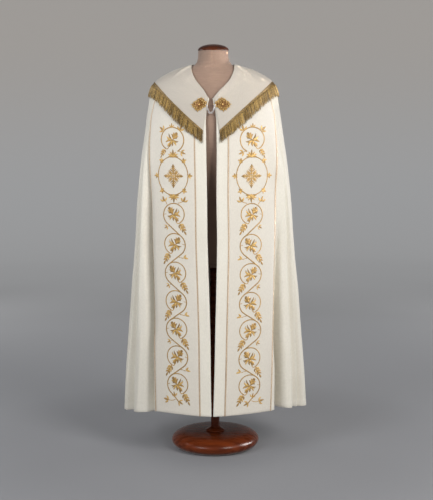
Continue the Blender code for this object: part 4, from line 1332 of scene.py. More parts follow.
RINGS = {
    Side.LEFT: (Ring(0.009, 1.030), Ring(0.009, 0.905), Ring(0.009, 0.786), Ring(0.006, 0.667),
                Ring(0.006, 0.552), Ring(0.006, 0.436), Ring(0.007, 0.320)),
    Side.RIGHT: (Ring(0.004, 1.029), Ring(0.007, 0.901), Ring(0.007, 0.780), Ring(0.005, 0.660),
                 Ring(0.003, 0.546), Ring(0.002, 0.429), Ring(0.001, 0.315)),
}
UPPER_SHIFT = {Side.LEFT: (0.002, -0.0015), Side.RIGHT: (-0.0025, -0.0024)}


def placed(leaves: Sequence[Leaf], x: float, z: float, turn: float = 0.0, scale: float = 1.0,
           mirrored: bool = False) -> list[Leaf]:
    """Turn, scale and shift leaves.

    Args:
        leaves: rows in millimetres about their own middle.
        x: place across the orphrey, in metres towards the front edge.
        z: height in metres.
        turn: turn in degrees.
        scale: factor of their sizes.
        mirrored: whether left and right change places first.

    Returns:
        The same leaves in metres.
    """
    flip = -1.0 if mirrored else 1.0
    cosine, sine = math.cos(math.radians(turn)), math.sin(math.radians(turn))
    unit = scale / 1000
    rows = []
    for leaf in leaves:
        px, pz = flip * leaf.x * unit, leaf.z * unit
        angle = 180 - leaf.angle if mirrored else leaf.angle
        rows.append(Leaf(x + px * cosine - pz * sine, z + px * sine + pz * cosine, angle + turn,
                         leaf.length * unit, leaf.width * unit, flip * leaf.bend, leaf.tone))
    return rows


def arc_points(x: float, z: float, radii: tuple[float, float], start: float, end: float) -> Array:
    """Points of an elliptical arc, angles in degrees, about 3 mm apart."""
    count = max(8, int(abs(math.radians(end - start)) * max(radii) / 0.003))
    turn = np.radians(np.linspace(start, end, count))
    return np.stack([x + radii[0] * np.cos(turn), z + radii[1] * np.sin(turn)], axis=1)


def curl_points(first: tuple[float, float], pull: tuple[float, float], last: tuple[float, float]) -> Array:
    """Points of a curve that leaves one point towards a second and ends in a third."""
    t = np.linspace(0.0, 1.0, 12)[:, None]
    ends = (1 - t) ** 2 * np.array(first) + t ** 2 * np.array(last)
    return ends + 2 * t * (1 - t) * np.array(pull)


@dataclass
class Embroidery:
    """The gold scroll of one orphrey: a top ring, an oval with a cross, and a vine of seven rings."""

    form: ClothForm
    side: Side
    ring: float = 0.0475
    stem: float = 0.0049
    curl: float = 0.0036
    twig: float = 0.0030
    tendril: float = 0.0022
    flower_size: float = 1.14
    cross: tuple[float, float] = (0.0070, 1.192)
    lift: float = 0.00200
    dome: float = 0.0011

    def leaves_and_stems(self) -> tuple[list[Leaf], list[Stem]]:
        """Lay out every leaf and stem, in metres towards the front edge and up."""
        leaves, stems = self.upper_part()
        across, up = UPPER_SHIFT[self.side]
        leaves = [leaf._replace(x=leaf.x + across, z=leaf.z + up) for leaf in leaves]
        stems = [stem._replace(points=stem.points + (across, up)) for stem in stems]
        rings = RINGS[self.side]
        start = 127.0
        for number, ring in enumerate(rings):
            side = 1 if number % 2 == 0 else -1
            following = rings[number + 1] if number + 1 < len(rings) else Ring(ring.x, ring.z - 0.119)
            run = (following.x - ring.x, following.z - ring.z)
            line = math.degrees(math.atan2(run[1], run[0])) % 360
            lean = math.degrees(math.acos(min(1.0, 2 * self.ring / math.hypot(*run))))
            leave = line - side * lean
            stems += self.ring_stems(ring, side, start, leave)
            leaves += self.flower(self.about(ring, side, -0.001, 0.001), side < 0)
            leaves += placed(SPRAY, *self.about(ring, side, 0.0265, -0.0365), 0, 1.0, mirrored=side < 0)
            if number + 1 < len(rings):
                stems.append(self.crossing(ring, following, leave))
                leaves += self.sprig_beside(ring, side)
            else:
                end_leaves, end_stems = self.tail(ring, side, leave)
                leaves, stems = leaves + end_leaves, stems + end_stems
            start = leave + 180.0 if side > 0 else leave - 180.0
            start = start % 360
        return leaves, stems

    def about(self, ring: Ring, side: int, x: float, up: float) -> tuple[float, float]:
        """A place beside a ring's centre, mirrored in every second ring."""
        return ring.x + side * x, ring.z + up

    def ring_stems(self, ring: Ring, side: int, start: float, leave: float) -> list[Stem]:
        """A ring: the heavy stem down one side, and a lighter one over the top that curls in to the flower."""
        heavy = arc_points(*ring, (self.ring, self.ring), start, leave if side > 0 else leave - 360.0)
        turn = np.radians(np.linspace(start, -54.0 if side > 0 else 234.0, 46))
        tight = self.ring * (1 - 0.13 * np.linspace(0.0, 1.0, 46) ** 3)
        light = np.stack([ring.x + tight * np.cos(turn), ring.z + tight * np.sin(turn)], axis=1)
        at = partial(self.about, ring, side)
        inner = curl_points(light[-1], at(0.014, -0.0425), at(0.007, -0.022))
        spray = curl_points(light[-2], at(0.0245, -0.034), at(0.029, -0.041))
        return [Stem(heavy, self.stem, 0.72), Stem(light, self.stem * 0.9, 0.62), Stem(inner, self.curl, 0.5),
                Stem(spray, self.curl, 0.5), *self.tendrils(at)]

    def crossing(self, ring: Ring, following: Ring, leave: float) -> Stem:
        """The straight run from one ring's side to the other side of the next."""
        turn = math.radians(leave)
        first = np.array([ring.x + self.ring * math.cos(turn), ring.z + self.ring * math.sin(turn)])
        last = np.array([following.x - self.ring * math.cos(turn), following.z - self.ring * math.sin(turn)])
        return Stem(first + (last - first) * np.linspace(-0.03, 1.03, 14)[:, None], self.stem, 0.72)

    def sprig_beside(self, ring: Ring, side: int) -> list[Leaf]:
        """A sprig on the outer side below a ring: small beside odd rings, double and larger beside even ones."""
        if side > 0:
            return placed(SPRIG + STALK, *self.about(ring, side, -0.030, -0.049), 118, 0.72)
        return placed(TWIG, *self.about(ring, side, -0.026, -0.051), -18, 1.05, mirrored=False)

    def tail(self, ring: Ring, side: int, leave: float) -> tuple[list[Leaf], list[Stem]]:
        """The vine's end: the heavy stem splits into sprigs under the last ring."""
        turn, at = math.radians(leave), partial(self.about, ring, side)
        end = (ring.x + self.ring * math.cos(turn), ring.z + self.ring * math.sin(turn))
        stems = [
            Stem(curl_points(end, at(-0.012, -0.052), at(0.004, -0.072)), self.stem, 0.55),
            Stem(curl_points(at(-0.012, -0.062), at(-0.030, -0.072), at(-0.046, -0.066)), self.twig, 0.5),
            Stem(curl_points(at(-0.018, -0.052), at(-0.013, -0.050), at(-0.013, -0.042)), self.twig, 0.5),
        ]
        leaves = placed(SPRIG, *at(0.004, -0.070), -120, 0.9) + placed(SPRIG, *at(-0.045, -0.068), 75)
        return leaves + placed(SPRIG, *at(-0.014, -0.048), 15, 0.8), stems

    def flower(self, at: tuple[float, float], mirrored: bool) -> list[Leaf]:
        """A flower with its bud up on the outer side, or mirrored."""
        return [leaf for rows in (STAR, CALYX, BUD)
                for leaf in placed(rows, *at, 0, self.flower_size, mirrored=mirrored)]

    def tendrils(self, at: Callable[[float, float], tuple[float, float]]) -> list[Stem]:
        """Two fine tendrils beside a flower and a thorn on its ring."""
        return [
            Stem(curl_points(at(0.004, 0.006), at(0.020, 0.006), at(0.021, 0.022)), self.tendril, 0.85),
            Stem(curl_points(at(-0.005, -0.006), at(-0.018, -0.006), at(-0.024, -0.014)), self.tendril, 0.85),
            Stem(curl_points(at(-0.046, 0.002), at(-0.040, 0.001), at(-0.036, 0.004)), 0.0024, 0.6),
        ]

    def upper_part(self) -> tuple[list[Leaf], list[Stem]]:
        """The top ring, the oval with its cross, and the palmettes between them."""
        ring, turns = (0.0025, 1.341), np.linspace(0.0, 1.0, 90)
        turn, tight = np.radians(-62 + 294 * turns), 0.053 * (1 - 0.16 * turns ** 4)
        loop = np.stack([ring[0] + tight * np.cos(turn), ring[1] + tight * np.sin(turn)], axis=1)
        stems = [Stem(loop, self.stem, 0.60),
                 Stem(curl_points(loop[-1], (-0.019, 1.299), (-0.010, 1.313)), 0.0034, 0.5)]
        leaves = self.flower((0.004, 1.341), True)
        leaves += placed(SPRIG, -0.036, 1.380, 52) + placed(SPRIG, 0.0025, 1.394, 0, 0.7)
        leaves += placed(SPRIG, 0.040, 1.380, -18)
        leaves += placed(SPRAY, -0.030, 1.303, 0, 0.80, mirrored=True)
        leaves += placed(SPRIG, 0.043, 1.291, -112, 0.9)
        stems.append(Stem(curl_points((0.027, 1.294), (0.036, 1.296), (0.044, 1.290)), self.twig, 0.5))
        leaves += placed(PALMETTE, 0.0075, 1.2705, 0, 0.95)
        oval, radii = (0.004, 1.193), (0.067, 0.0795)
        stems.append(Stem(arc_points(*oval, radii, 90, 450), self.stem * 0.85, 0.70))
        for turn, outward in ((48, 20), (0, 0), (-48, -20), (132, 160), (180, 180), (228, 200)):
            root = math.radians(turn)
            x, z = oval[0] + (radii[0] + 0.006) * math.cos(root), oval[1] + (radii[1] + 0.004) * math.sin(root)
            leaves += placed(FLORET, x, z, outward, 1.0)
        for turn, scale in ((0, 0.94), (90, 1.06), (180, 0.94), (270, 1.06)):
            brighter = 0.15 if turn % 180 else 0.0
            arm = [leaf._replace(tone=min(1.0, leaf.tone + brighter)) for leaf in CROSS_ARM]
            leaves += placed(arm, *self.cross, turn, scale)
        for turn in (45, 135, 225, 315):
            leaves += placed(CROSS_SPRAY, *self.cross, turn, 0.95)
        leaves += placed(FLORET, *self.cross, 18, 0.50)
        leaves += placed(PALMETTE, 0.0075, 1.1150, 180, 1.0)
        leaves += placed(SPRIG, -0.036, 1.086, 18) + placed(SPRIG, 0.050, 1.086, -20)
        stems.append(Stem(curl_points((-0.024, 1.074), (-0.026, 1.084), (-0.034, 1.088)), self.twig, 0.5))
        stems.append(Stem(curl_points((0.026, 1.080), (0.036, 1.082), (0.049, 1.088)), self.twig, 0.5))
        return leaves, stems

    def raised(self, x: Array, z: Array, rise: Array) -> Array:
        """Points over the orphrey: along = the orphrey's middle - x, moved out by the rise."""
        along = self.form.STRIP + self.form.BRAID + self.form.ORPHREY / 2 - x

        def surface(across: Array, down: Array) -> Array:
            return self.form.front_zone(self.side, across, 1.0 - down)
        return self.form.moved_out(surface, self.side, along, 1.0 - z, rise)

    def satin(self, parts: MeshParts, path: Array, half_width: Array, dome: Array, tone: Array) -> None:
        """Add domed stitches along paths.

        Round each path point lie six points: both edges, three on the dome with a slight dip along the
        middle, and one under it.

        Args:
            parts: gathering to add them to.
            path: places, (shapes, rings, 2).
            half_width: half widths, (shapes, rings).
            dome: heights of the dome, (shapes, rings).
            tone: tones, (shapes,).
        """
        run = unit(np.gradient(path, axis=1))
        beside = np.stack([-run[..., 1], run[..., 0]], axis=-1)
        across = np.array([1.0, 0.55, 0.0, -0.55, -1.0, 0.0])
        up = np.array([0.0, 0.85, 0.80, 0.85, 0.0, -0.35])
        place = path[..., None, :] + beside[..., None, :] * (half_width[..., None] * across)[..., None]
        points = self.raised(place[..., 0], place[..., 1], self.lift + dome[..., None] * up)
        if self.side is Side.RIGHT:
            points = points[:, :, ::-1]
        step = np.linalg.norm(np.diff(path, axis=1), axis=-1)
        along = np.concatenate([np.zeros((len(path), 1)), np.cumsum(step, axis=1)], axis=1)
        pattern = np.stack(np.broadcast_arrays(along[..., None], half_width[..., None] * np.abs(across)), axis=-1)
        parts.add(points, ring_faces(*points.shape[:3]), pattern, tone[:, None, None])

    def build(self, wardrobe: Wardrobe) -> bpy.types.Object:
        """Build the embroidery as one piece of closed, domed stitches."""
        leaves, stems = self.leaves_and_stems()
        parts = MeshParts()
        table = np.array(leaves)
        t = np.linspace(0.0, 1.0, 8)
        angle = np.radians(table[:, 2:3] + table[:, 5:6] * (t - 0.5) * 2)
        step = table[:, 3:4] / (len(t) - 1)
        x = table[:, :1] + np.cumsum(np.cos(angle) * step, axis=1) - np.cos(angle[:, :1]) * step
        z = table[:, 1:2] + np.cumsum(np.sin(angle) * step, axis=1) - np.sin(angle[:, :1]) * step
        profile = 0.10 + 0.90 * np.sin(math.pi * t ** 0.85) ** 0.8
        half_width = table[:, 4:5] / 2 * profile
        dome = self.dome * np.clip(table[:, 4:5] / 0.009, 0.6, 1.3) * (0.35 + 0.65 * np.sin(math.pi * t))
        self.satin(parts, np.stack([x, z], axis=-1), half_width, dome, table[:, 6])
        for stem in stems:
            path = np.asarray(stem.points)[None]
            size = path.shape[1]
            taper = np.full((1, size), stem.width / 2)
            self.satin(parts, path, taper, np.full((1, size), self.dome * 0.8), np.array([stem.tone]))
        mesh = parts.mesh(f"embroidery_{self.side.word}")
        return add_piece(mesh, (wardrobe.stitch.make(),))


@dataclass
class Orphreys:
    """On each front a satin orphrey between two gold braids, with its embroidery."""

    form: ClothForm
    wall: float = 0.0010
    braid_wall: float = 0.0014
    gap: float = 0.0003
    lift: float = 0.00105
    first_drop: float = 0.036
    columns: int = 26
    rows: int = 160
    braid_columns: int = 7
    braid_rows: int = 900
    plait: float = 0.0052

    def layer(self, side: Side, places: Array, rows: int, wall: float) -> Grid:
        """Points and cloth coordinates of a strip on the mantle, places in metres from the front edge."""
        drops = np.linspace(self.first_drop, 1.0, rows)
        station, drop = np.meshgrid(places / self.form.ZONE, drops, indexing="ij")
        points = self.form.moved_out(partial(self.form.mantle, side), side, station, drop, self.lift + wall / 2)
        height = self.form.mantle_height(side, station, drop)
        return points, np.stack([side.value * station * self.form.ZONE, height], axis=-1)

    def plaited(self, pattern: Array, places: Array) -> Array:
        """Relief of a braid: two rows of slanted stitches that meet in its middle."""
        across = ((places - places.mean()) / (places[-1] - places[0]) * 2)[:, None]
        slant = pattern[..., 1] / self.plait + np.abs(across) * 0.35
        stitch = np.abs(np.sin(math.pi * slant)) ** 0.6
        return 0.0005 * stitch * (1 - across ** 2 * 0.8) - 0.00015

    def build(self, wardrobe: Wardrobe) -> list[bpy.types.Object]:
        """Build the orphreys, braids and embroidery of both fronts."""
        satin, gold, lining = wardrobe.satin.make(), wardrobe.braid.make(), wardrobe.lining.make()
        form, pieces = self.form, []
        start = form.STRIP + form.BRAID
        for side in Side:
            places = np.linspace(start + self.gap, start + form.ORPHREY - self.gap, self.columns)
            grid = self.layer(side, places, self.rows, self.wall)
            mesh = shell_mesh(f"orphrey_band_{side.word}", grid, self.wall, side)
            band = add_piece(mesh, (satin, lining), [f"orphrey_{side.word}"])
            extra = [Embroidery(form, side).build(wardrobe)]
            for place, first in (("inner", form.STRIP), ("outer", form.ZONE - form.BRAID)):
                places = np.linspace(first, first + form.BRAID, self.braid_columns)
                grid = self.layer(side, places, self.braid_rows, self.braid_wall)
                mesh = shell_mesh(f"braid_{place}_strip_{side.word}", grid, self.braid_wall, side,
                                  self.plaited(grid[1], places), 0.3)
                extra.append(add_piece(mesh, (gold, gold), [f"braid_{place}_{side.word}"]))
            pieces += [band, *extra]
        return pieces


# ------------------------------------------------------------------ the collar and its fringe
@dataclass
class Collar:
    """One piece round the neck, with a corner on each shoulder and a point at the back."""

    form: ClothForm
    wall: float = 0.0015
    rise_at_neck: float = 0.0024
    rise_at_edge: float = 0.0056
    rows: int = 56
    front_columns: int = 50
    back_columns: int = 60

    def creases(self, side: Side, place: Array, drop: Array) -> Array:
        """Ridges that fall from the neckline: rise exp(-(d / width)^2), fading out along their reach."""
        total = np.zeros(np.shape(place))
        for crease in NECK_CREASES[side]:
            line = crease.place + crease.lean * drop
            fade = (1 - smooth_step(drop, 0.1, crease.reach)) * smooth_step(drop, 0.0, 0.03)
            total += crease.rise * np.exp(-(((place - line) / crease.width) ** 2)) * fade
        return total

    def half(self, side: Side) -> Grid:
        """Points and cloth coordinates of one half."""
        form = self.form
        places = form.collar_places(self.front_columns, self.back_columns)
        place, drop = np.meshgrid(places, np.linspace(0.0, 1.0, self.rows), indexing="ij")
        rise = self.rise_at_neck + (self.rise_at_edge - self.rise_at_neck) * np.minimum(drop * 3, 1.0)
        rise = rise + np.maximum(self.creases(side, place, drop), -0.0004 - 0.6 * (rise - self.rise_at_neck))
        top = form.collar_top(place)
        height = top + (form.collar_edge(place) - top) * drop
        along = form.collar_share(place, height) * form.half_length(height)
        return form.collar(side, place, drop, rise), np.stack([side.value * along, height], axis=-1)

    def build(self, wardrobe: Wardrobe) -> list[bpy.types.Object]:
        """Build the collar."""
        mesh = shell_mesh("collar_piece", joined(*(self.half(side) for side in Side)), self.wall)
        # The collar wears the darker copy of the cream wool: painted shade.
        collar = add_piece(mesh, (wardrobe.collar_wool.make(), wardrobe.lining.make()), ["collar"])
        return [collar]


@dataclass
class Fringe:
    """The bullion fringe of one half of the collar's edge: a plaited head and two rows of twisted strands."""

    form: ClothForm
    side: Side
    head: float = 0.0140
    length: float = 0.0440
    thickness: float = 0.0016
    rise: float = 0.00565
    plait: float = 0.0042
    cord: float = 0.0036
    strands: int = 320
    front_share: float = 0.42
    radius: float = 0.00120
    twist: float = 0.0075
    rings: int = 9
    around: int = 5

    def head_mesh(self) -> bpy.types.Mesh:
        """The head: crossed waves raise a plait in its outer face, below a cord."""
        places = self.form.collar_places(230, 290)
        place, below = np.meshgrid(places, np.linspace(0.0004, self.head, 12), indexing="ij")
        points = self.form.under_edge(self.side, place, below, self.rise)
        run = np.linalg.norm(np.diff(points[:, 0], axis=0), axis=-1)
        along = np.concatenate([[0.0], np.cumsum(run)])[:, None] * np.ones_like(below)
        wave = np.sin(math.pi * (along + below) / self.plait) * np.sin(math.pi * (along - below) / self.plait)
        rope = np.exp(-(((below - 0.0022) / 0.0016) ** 2)) * (0.6 + 0.4 * np.sin(2 * math.pi * along / self.cord))
        relief = 0.0007 * wave + 0.0007 * rope
        grid = (points, np.stack([along, below], axis=-1))
        return shell_mesh(f"fringe_head_{self.side.word}", grid, self.thickness, self.side, relief, 0.72)

    def strand_mesh(self) -> bpy.types.Mesh:
        """The strands: tubes whose two plies turn round each other, of uneven length, sway and tone."""
        parts = MeshParts()
        front = round(self.strands * self.front_share)
        base = self.form.collar_places(front, self.strands - front + 1, 0.004, 0.998)
        t = np.linspace(0.0, 1.0, self.rings)
        ply = whole_turn(self.around)
        for row, (lift, whole, ragged) in enumerate(((-0.0004, 0.74, 0.20), (0.0012, 0.86, 0.20))):
            turn = row * 1.7 + (0.3 if self.side is Side.LEFT else 0.9)
            shift, longer, sway, thick, tone = (scatter(self.strands, turn + step)[:, None] for step in range(5))
            pitch = np.gradient(base)[:, None]
            place = np.clip(base[:, None] + pitch * (0.5 * row + 0.7 * (shift - 0.5)), 0.001, 0.999)
            across = np.clip(place + (sway - 0.5) * pitch * 3.2 * t ** 2, 0.0005, 0.9995)
            below = self.head - 0.003 + (self.length * (whole + ragged * longer) + 0.003) * t
            rise = self.rise + lift + 0.0018 * (thick - 0.3) * t ** 2
            path = self.form.under_edge(self.side, across, below, rise)
            phase = 2 * math.pi * (below / self.twist + tone)
            body = self.radius * (1 - 0.55 * smooth_step(t, 0.72, 1.0)) * (0.80 + 0.35 * thick)
            radius = body[..., None] * (1 + 0.24 * np.cos(2 * (ply + phase[..., None])))
            pattern = np.stack(np.broadcast_arrays(below[..., None], ply * 0.0012), axis=-1)
            # Each strand's tone differs at random; the inner row, which hangs behind the outer one, gets 0.20 more
            # tone, a duller colour: painted shade.
            parts.add(tube_points(path, radius), ring_faces(len(place), self.rings, self.around), pattern,
                      -0.10 + 1.05 * tone[..., None] ** 0.8 + 0.20 * (1 - row))
        return parts.mesh(f"fringe_strands_{self.side.word}")

    def build(self, wardrobe: Wardrobe) -> list[bpy.types.Object]:
        """Build the head and the strands."""
        bullion = wardrobe.bullion.make()
        head = add_piece(self.head_mesh(), (bullion, bullion))
        return [head, add_piece(self.strand_mesh(), (bullion,), [f"fringe_{self.side.word}"])]


# ------------------------------------------------------------------ the clasp
@dataclass
class Clasp:
    """Two filigree lozenges and the silver chain between them."""

    form: ClothForm
    half_width: float = 0.0325
    half_height: float = 0.0290
    tip: float = 0.0140
    height: float = 1.4846
    power: float = 1.30
    rise: float = 0.00665
    link_length: float = 0.0120
    link_width: float = 0.0080
    wire: float = 0.0017
    links: int = 11
    play: float = 0.0011
    lap: float = 0.0030
    forward: float = 0.0046

    def outline(self, turn: Array, scale: Array, lobes: float) -> tuple[Array, Array]:
        """The lozenge with round corners and a lobed edge, as a superellipse times 1 + lobes cos 12 t."""
        cosine, sine = np.cos(turn), np.sin(turn)
        lobed = scale * (1 + lobes * np.cos(12 * turn))
        across = self.half_width * np.sign(cosine) * np.abs(cosine) ** (2 / self.power)
        up = self.half_height * np.sign(sine) * np.abs(sine) ** (2 / self.power)
        return across * lobed, up * lobed

    def plate(self, parts: MeshParts) -> None:
        """The backing: rings of the outline at rising heights, closed at both ends."""
        turn = whole_turn(120)
        rings = ((0.94, 0.0), (0.97, 0.0007), (0.94, 0.0014), (0.86, 0.0011), (0.55, 0.0012), (0.36, 0.0022),
                 (0.10, 0.0026))
        grid = []
        for scale, thickness in rings:
            across, up = self.outline(turn, np.full(120, scale), 0.035 * (scale > 0.8))
            grid.append(np.stack([across, up, np.full(120, thickness)], axis=-1))
        points = np.array(grid)[None]
        parts.add(points, ring_faces(*points.shape[:3]), points[..., :2], -0.5)

    def wires(self, parts: MeshParts) -> None:
        """Rope rim and scrolls: tubes along closed outlines and spirals r = a (1 - t) + b."""
        t = np.linspace(0.0, 2 * math.pi, 161)
        for scale, radius, lift in ((0.90, 0.0012, 0.0020), (0.47, 0.0008, 0.0024)):
            across, up = self.outline(t, np.full(len(t), scale), 0.03)
            path = np.stack([across, up, np.full(len(t), lift)], axis=-1)[None]
            rope = radius * (1 + 0.25 * np.cos(2 * (whole_turn(6) + t[None, :, None] * 40)))
            self.tube(parts, path, rope, 0.50)
        spiral = np.linspace(0.0, 1.0, 26)
        rows = []
        for x, y, reach, start, turns in ((0.56, 0.20, 0.0050, -40, 1.20), (0.18, 0.58, 0.0046, 130, -1.20),
                                          (0.38, 0.40, 0.0034, 60, 0.9)):
            for flip_x in (1, -1):
                for flip_y in (1, -1):
                    angle = math.radians(start) + 2 * math.pi * turns * spiral
                    radius = reach * (1 - spiral) + 0.0006
                    rows.append(np.stack([
                        flip_x * (x * self.half_width + radius * np.cos(angle)),
                        flip_y * (y * self.half_height + radius * np.sin(angle)), 0.0022 + 0.0006 * spiral,
                    ], axis=-1))
        self.tube(parts, np.array(rows), np.full((len(rows), 26, 6), 0.00075), 0.62)

    def tube(self, parts: MeshParts, path: Array, radius: Array, tone: float) -> None:
        """Add round wires along paths."""
        points = tube_points(path, radius)
        parts.add(points, ring_faces(*radius.shape), points[..., :2], tone)

    def beads(self, parts: MeshParts) -> None:
        """Beads: rings of latitude from foot to crown, on the rim's lobes, round the boss and on it."""
        rim = whole_turn(12)
        across, up = self.outline(rim, np.full(12, 0.99), 0.02)
        near = whole_turn(8) + math.pi / 8
        places = [np.stack([across, up, np.full(12, 0.0012)], axis=1),
                  np.stack([0.0092 * np.cos(near), 0.0080 * np.sin(near), np.full(8, 0.0026)], axis=1),
                  np.array([[0.0, 0.0, 0.0030]]),
                  np.array([[x * 0.0165, y * 0.0125, 0.0020] for x in (-1, 1) for y in (-1, 1)]),
                  np.array([[x * 0.0240, 0.0, 0.0018] for x in (-1, 1)]
                           + [[0.0, y * 0.0205, 0.0018] for y in (-1, 1)]),
                  np.array([[x * 0.0075, y * 0.0155, 0.0022] for x in (-1, 1) for y in (-1, 1)]
                           + [[x * 0.0175, y * 0.0045, 0.0022] for x in (-1, 1) for y in (-1, 1)])]
        sizes = np.concatenate([np.full(12, 0.0020), np.full(8, 0.0015), [0.0040], np.full(4, 0.0026),
                                np.full(4, 0.0024), np.full(8, 0.0018)])
        tones = 0.45 + 0.75 * scatter(len(sizes), 2.3)
        centre = np.concatenate(places)
        latitude = np.radians(np.linspace(-78, 78, 7))
        turn = whole_turn(10)
        ball = np.stack([
            np.cos(latitude)[:, None] * np.cos(turn), np.cos(latitude)[:, None] * np.sin(turn),
            np.broadcast_to(np.sin(latitude)[:, None], (7, 10)),
        ], axis=-1)
        points = centre[:, None, None] + ball * sizes[:, None, None, None]
        parts.add(points, ring_faces(*points.shape[:3]), points[..., :2], tones[:, None, None])

    def drawn_out(self, points: Array, side: Side) -> Array:
        """Draw the tip towards the chain out and let the lozenge lean; the right one is wider too."""
        wide = points.copy()
        tip = np.clip(-side.value * points[:, 0] / self.half_width, 0.0, 1.0) ** 5
        if side is Side.LEFT:
            wide[:, 0] = points[:, 0] + 0.0020 * tip + 0.24 * points[:, 1]
        else:
            wide[:, 0] = points[:, 0] * 1.05 - 0.0035 * tip - 0.12 * points[:, 1] + 0.0016
        return wide

    def build_plate(self, side: Side, wardrobe: Wardrobe) -> bpy.types.Object:
        """Build one lozenge in front of the collar."""
        centre, sideways, upward, outward = self.form.front_frame(
            side, self.tip + self.half_width, self.height, self.rise)
        parts = MeshParts()
        self.plate(parts)
        self.wires(parts)
        self.beads(parts)
        basis = np.stack([-sideways, upward, outward])
        parts.vertices = [self.drawn_out(rows, side) for rows in parts.vertices]
        parts.vertices = [centre + rows @ basis for rows in parts.vertices]
        return add_piece(parts.mesh(f"clasp_{side.word}"), (wardrobe.gilt.make(),),
                         [f"clasp_plate_{side.word}"])

    def hanging_path(self, half_span: float, length: float) -> tuple[Array, Array]:
        """A catenary y = c cosh(x / c) as long as the chain: x and drop at the ends of the links."""
        low, high = half_span / 20, half_span * 20
        for _ in range(40):
            curve = (low + high) / 2
            too_long = 2 * curve * math.sinh(half_span / curve) > length
            low, high = (curve, high) if too_long else (low, curve)
        marks = np.linspace(-length / 2, length / 2, self.links + 1)
        across = curve * np.arcsinh(marks / curve)
        return across, curve * (math.cosh(half_span / curve) - np.cosh(across / curve))

    def build_chain(self, wardrobe: Wardrobe) -> bpy.types.Object:
        """Build the chain: oval links that hang between the plates, every second one turned by a quarter."""
        tips = [self.form.front_frame(side, self.tip, self.height, 0.00635)[0] for side in Side]
        middle, depth = (tips[0] + tips[1])[:2] / 2
        pitch = self.link_length - 2 * self.wire - self.play
        across, drop = self.hanging_path(self.tip + self.lap, pitch * self.links)
        turn = np.linspace(0.0, 2 * math.pi, 33)[None]
        long_way = (self.link_length - self.wire) / 2 * np.cos(turn)
        short_way = (self.link_width - self.wire) / 2 * np.sign(np.sin(turn)) * np.abs(np.sin(turn)) ** 0.8
        tilt = np.arctan2(np.diff(drop), np.diff(across))[:, None]
        x = middle + ((across[1:] + across[:-1]) / 2)[:, None]
        z = self.height - ((drop[1:] + drop[:-1]) / 2)[:, None]
        flat = (np.arange(self.links) % 2 == 0)[:, None]
        up, ahead = np.where(flat, short_way, 0.0), np.where(flat, 0.0, short_way)
        path = np.stack([
            x + long_way * np.cos(tilt) + up * np.sin(tilt),
            depth - self.forward - ahead,
            z - long_way * np.sin(tilt) + up * np.cos(tilt),
        ], axis=-1)
        points = self.ring_tube(path, 8)
        parts = MeshParts()
        parts.add(points, self.torus_faces(*points.shape[:3]), points[..., ::2], 0.9)
        nodes = [f"chain_link_{number + 1}" for number in range(self.links)]
        return add_piece(parts.mesh("chain"), (wardrobe.silver.make(),), nodes)

    def ring_tube(self, path: Array, around: int) -> Array:
        """Points of closed rings of wire: circles spanned by the ring's plane and the way out of its middle."""
        closed = path[:, :-1]
        centre = closed.mean(axis=1, keepdims=True)
        run = unit(np.roll(closed, -1, axis=1) - np.roll(closed, 1, axis=1))
        plane = np.broadcast_to(unit(np.cross(closed[:, :1] - centre, closed[:, 8:9] - centre)), closed.shape)
        out = np.cross(run, plane)
        turn = whole_turn(around)[:, None]
        reach = np.cos(turn) * out[..., None, :] + np.sin(turn) * plane[..., None, :]
        return closed[..., None, :] - reach * self.wire / 2

    def torus_faces(self, shapes: int, rings: int, around: int) -> list[Array]:
        """Quads of closed rings of wire."""
        index = np.arange(shapes * rings * around).reshape(shapes, rings, around)
        after, beyond = np.roll(index, -1, axis=2), np.roll(index, -1, axis=1)
        both = np.roll(beyond, -1, axis=2)
        return [np.stack([index, after, both, beyond], axis=-1).reshape(-1, 4)]

    def build(self, wardrobe: Wardrobe) -> list[bpy.types.Object]:
        """Build both lozenges and the chain."""
        plates = [self.build_plate(side, wardrobe) for side in Side]
        return [*plates, self.build_chain(wardrobe)]


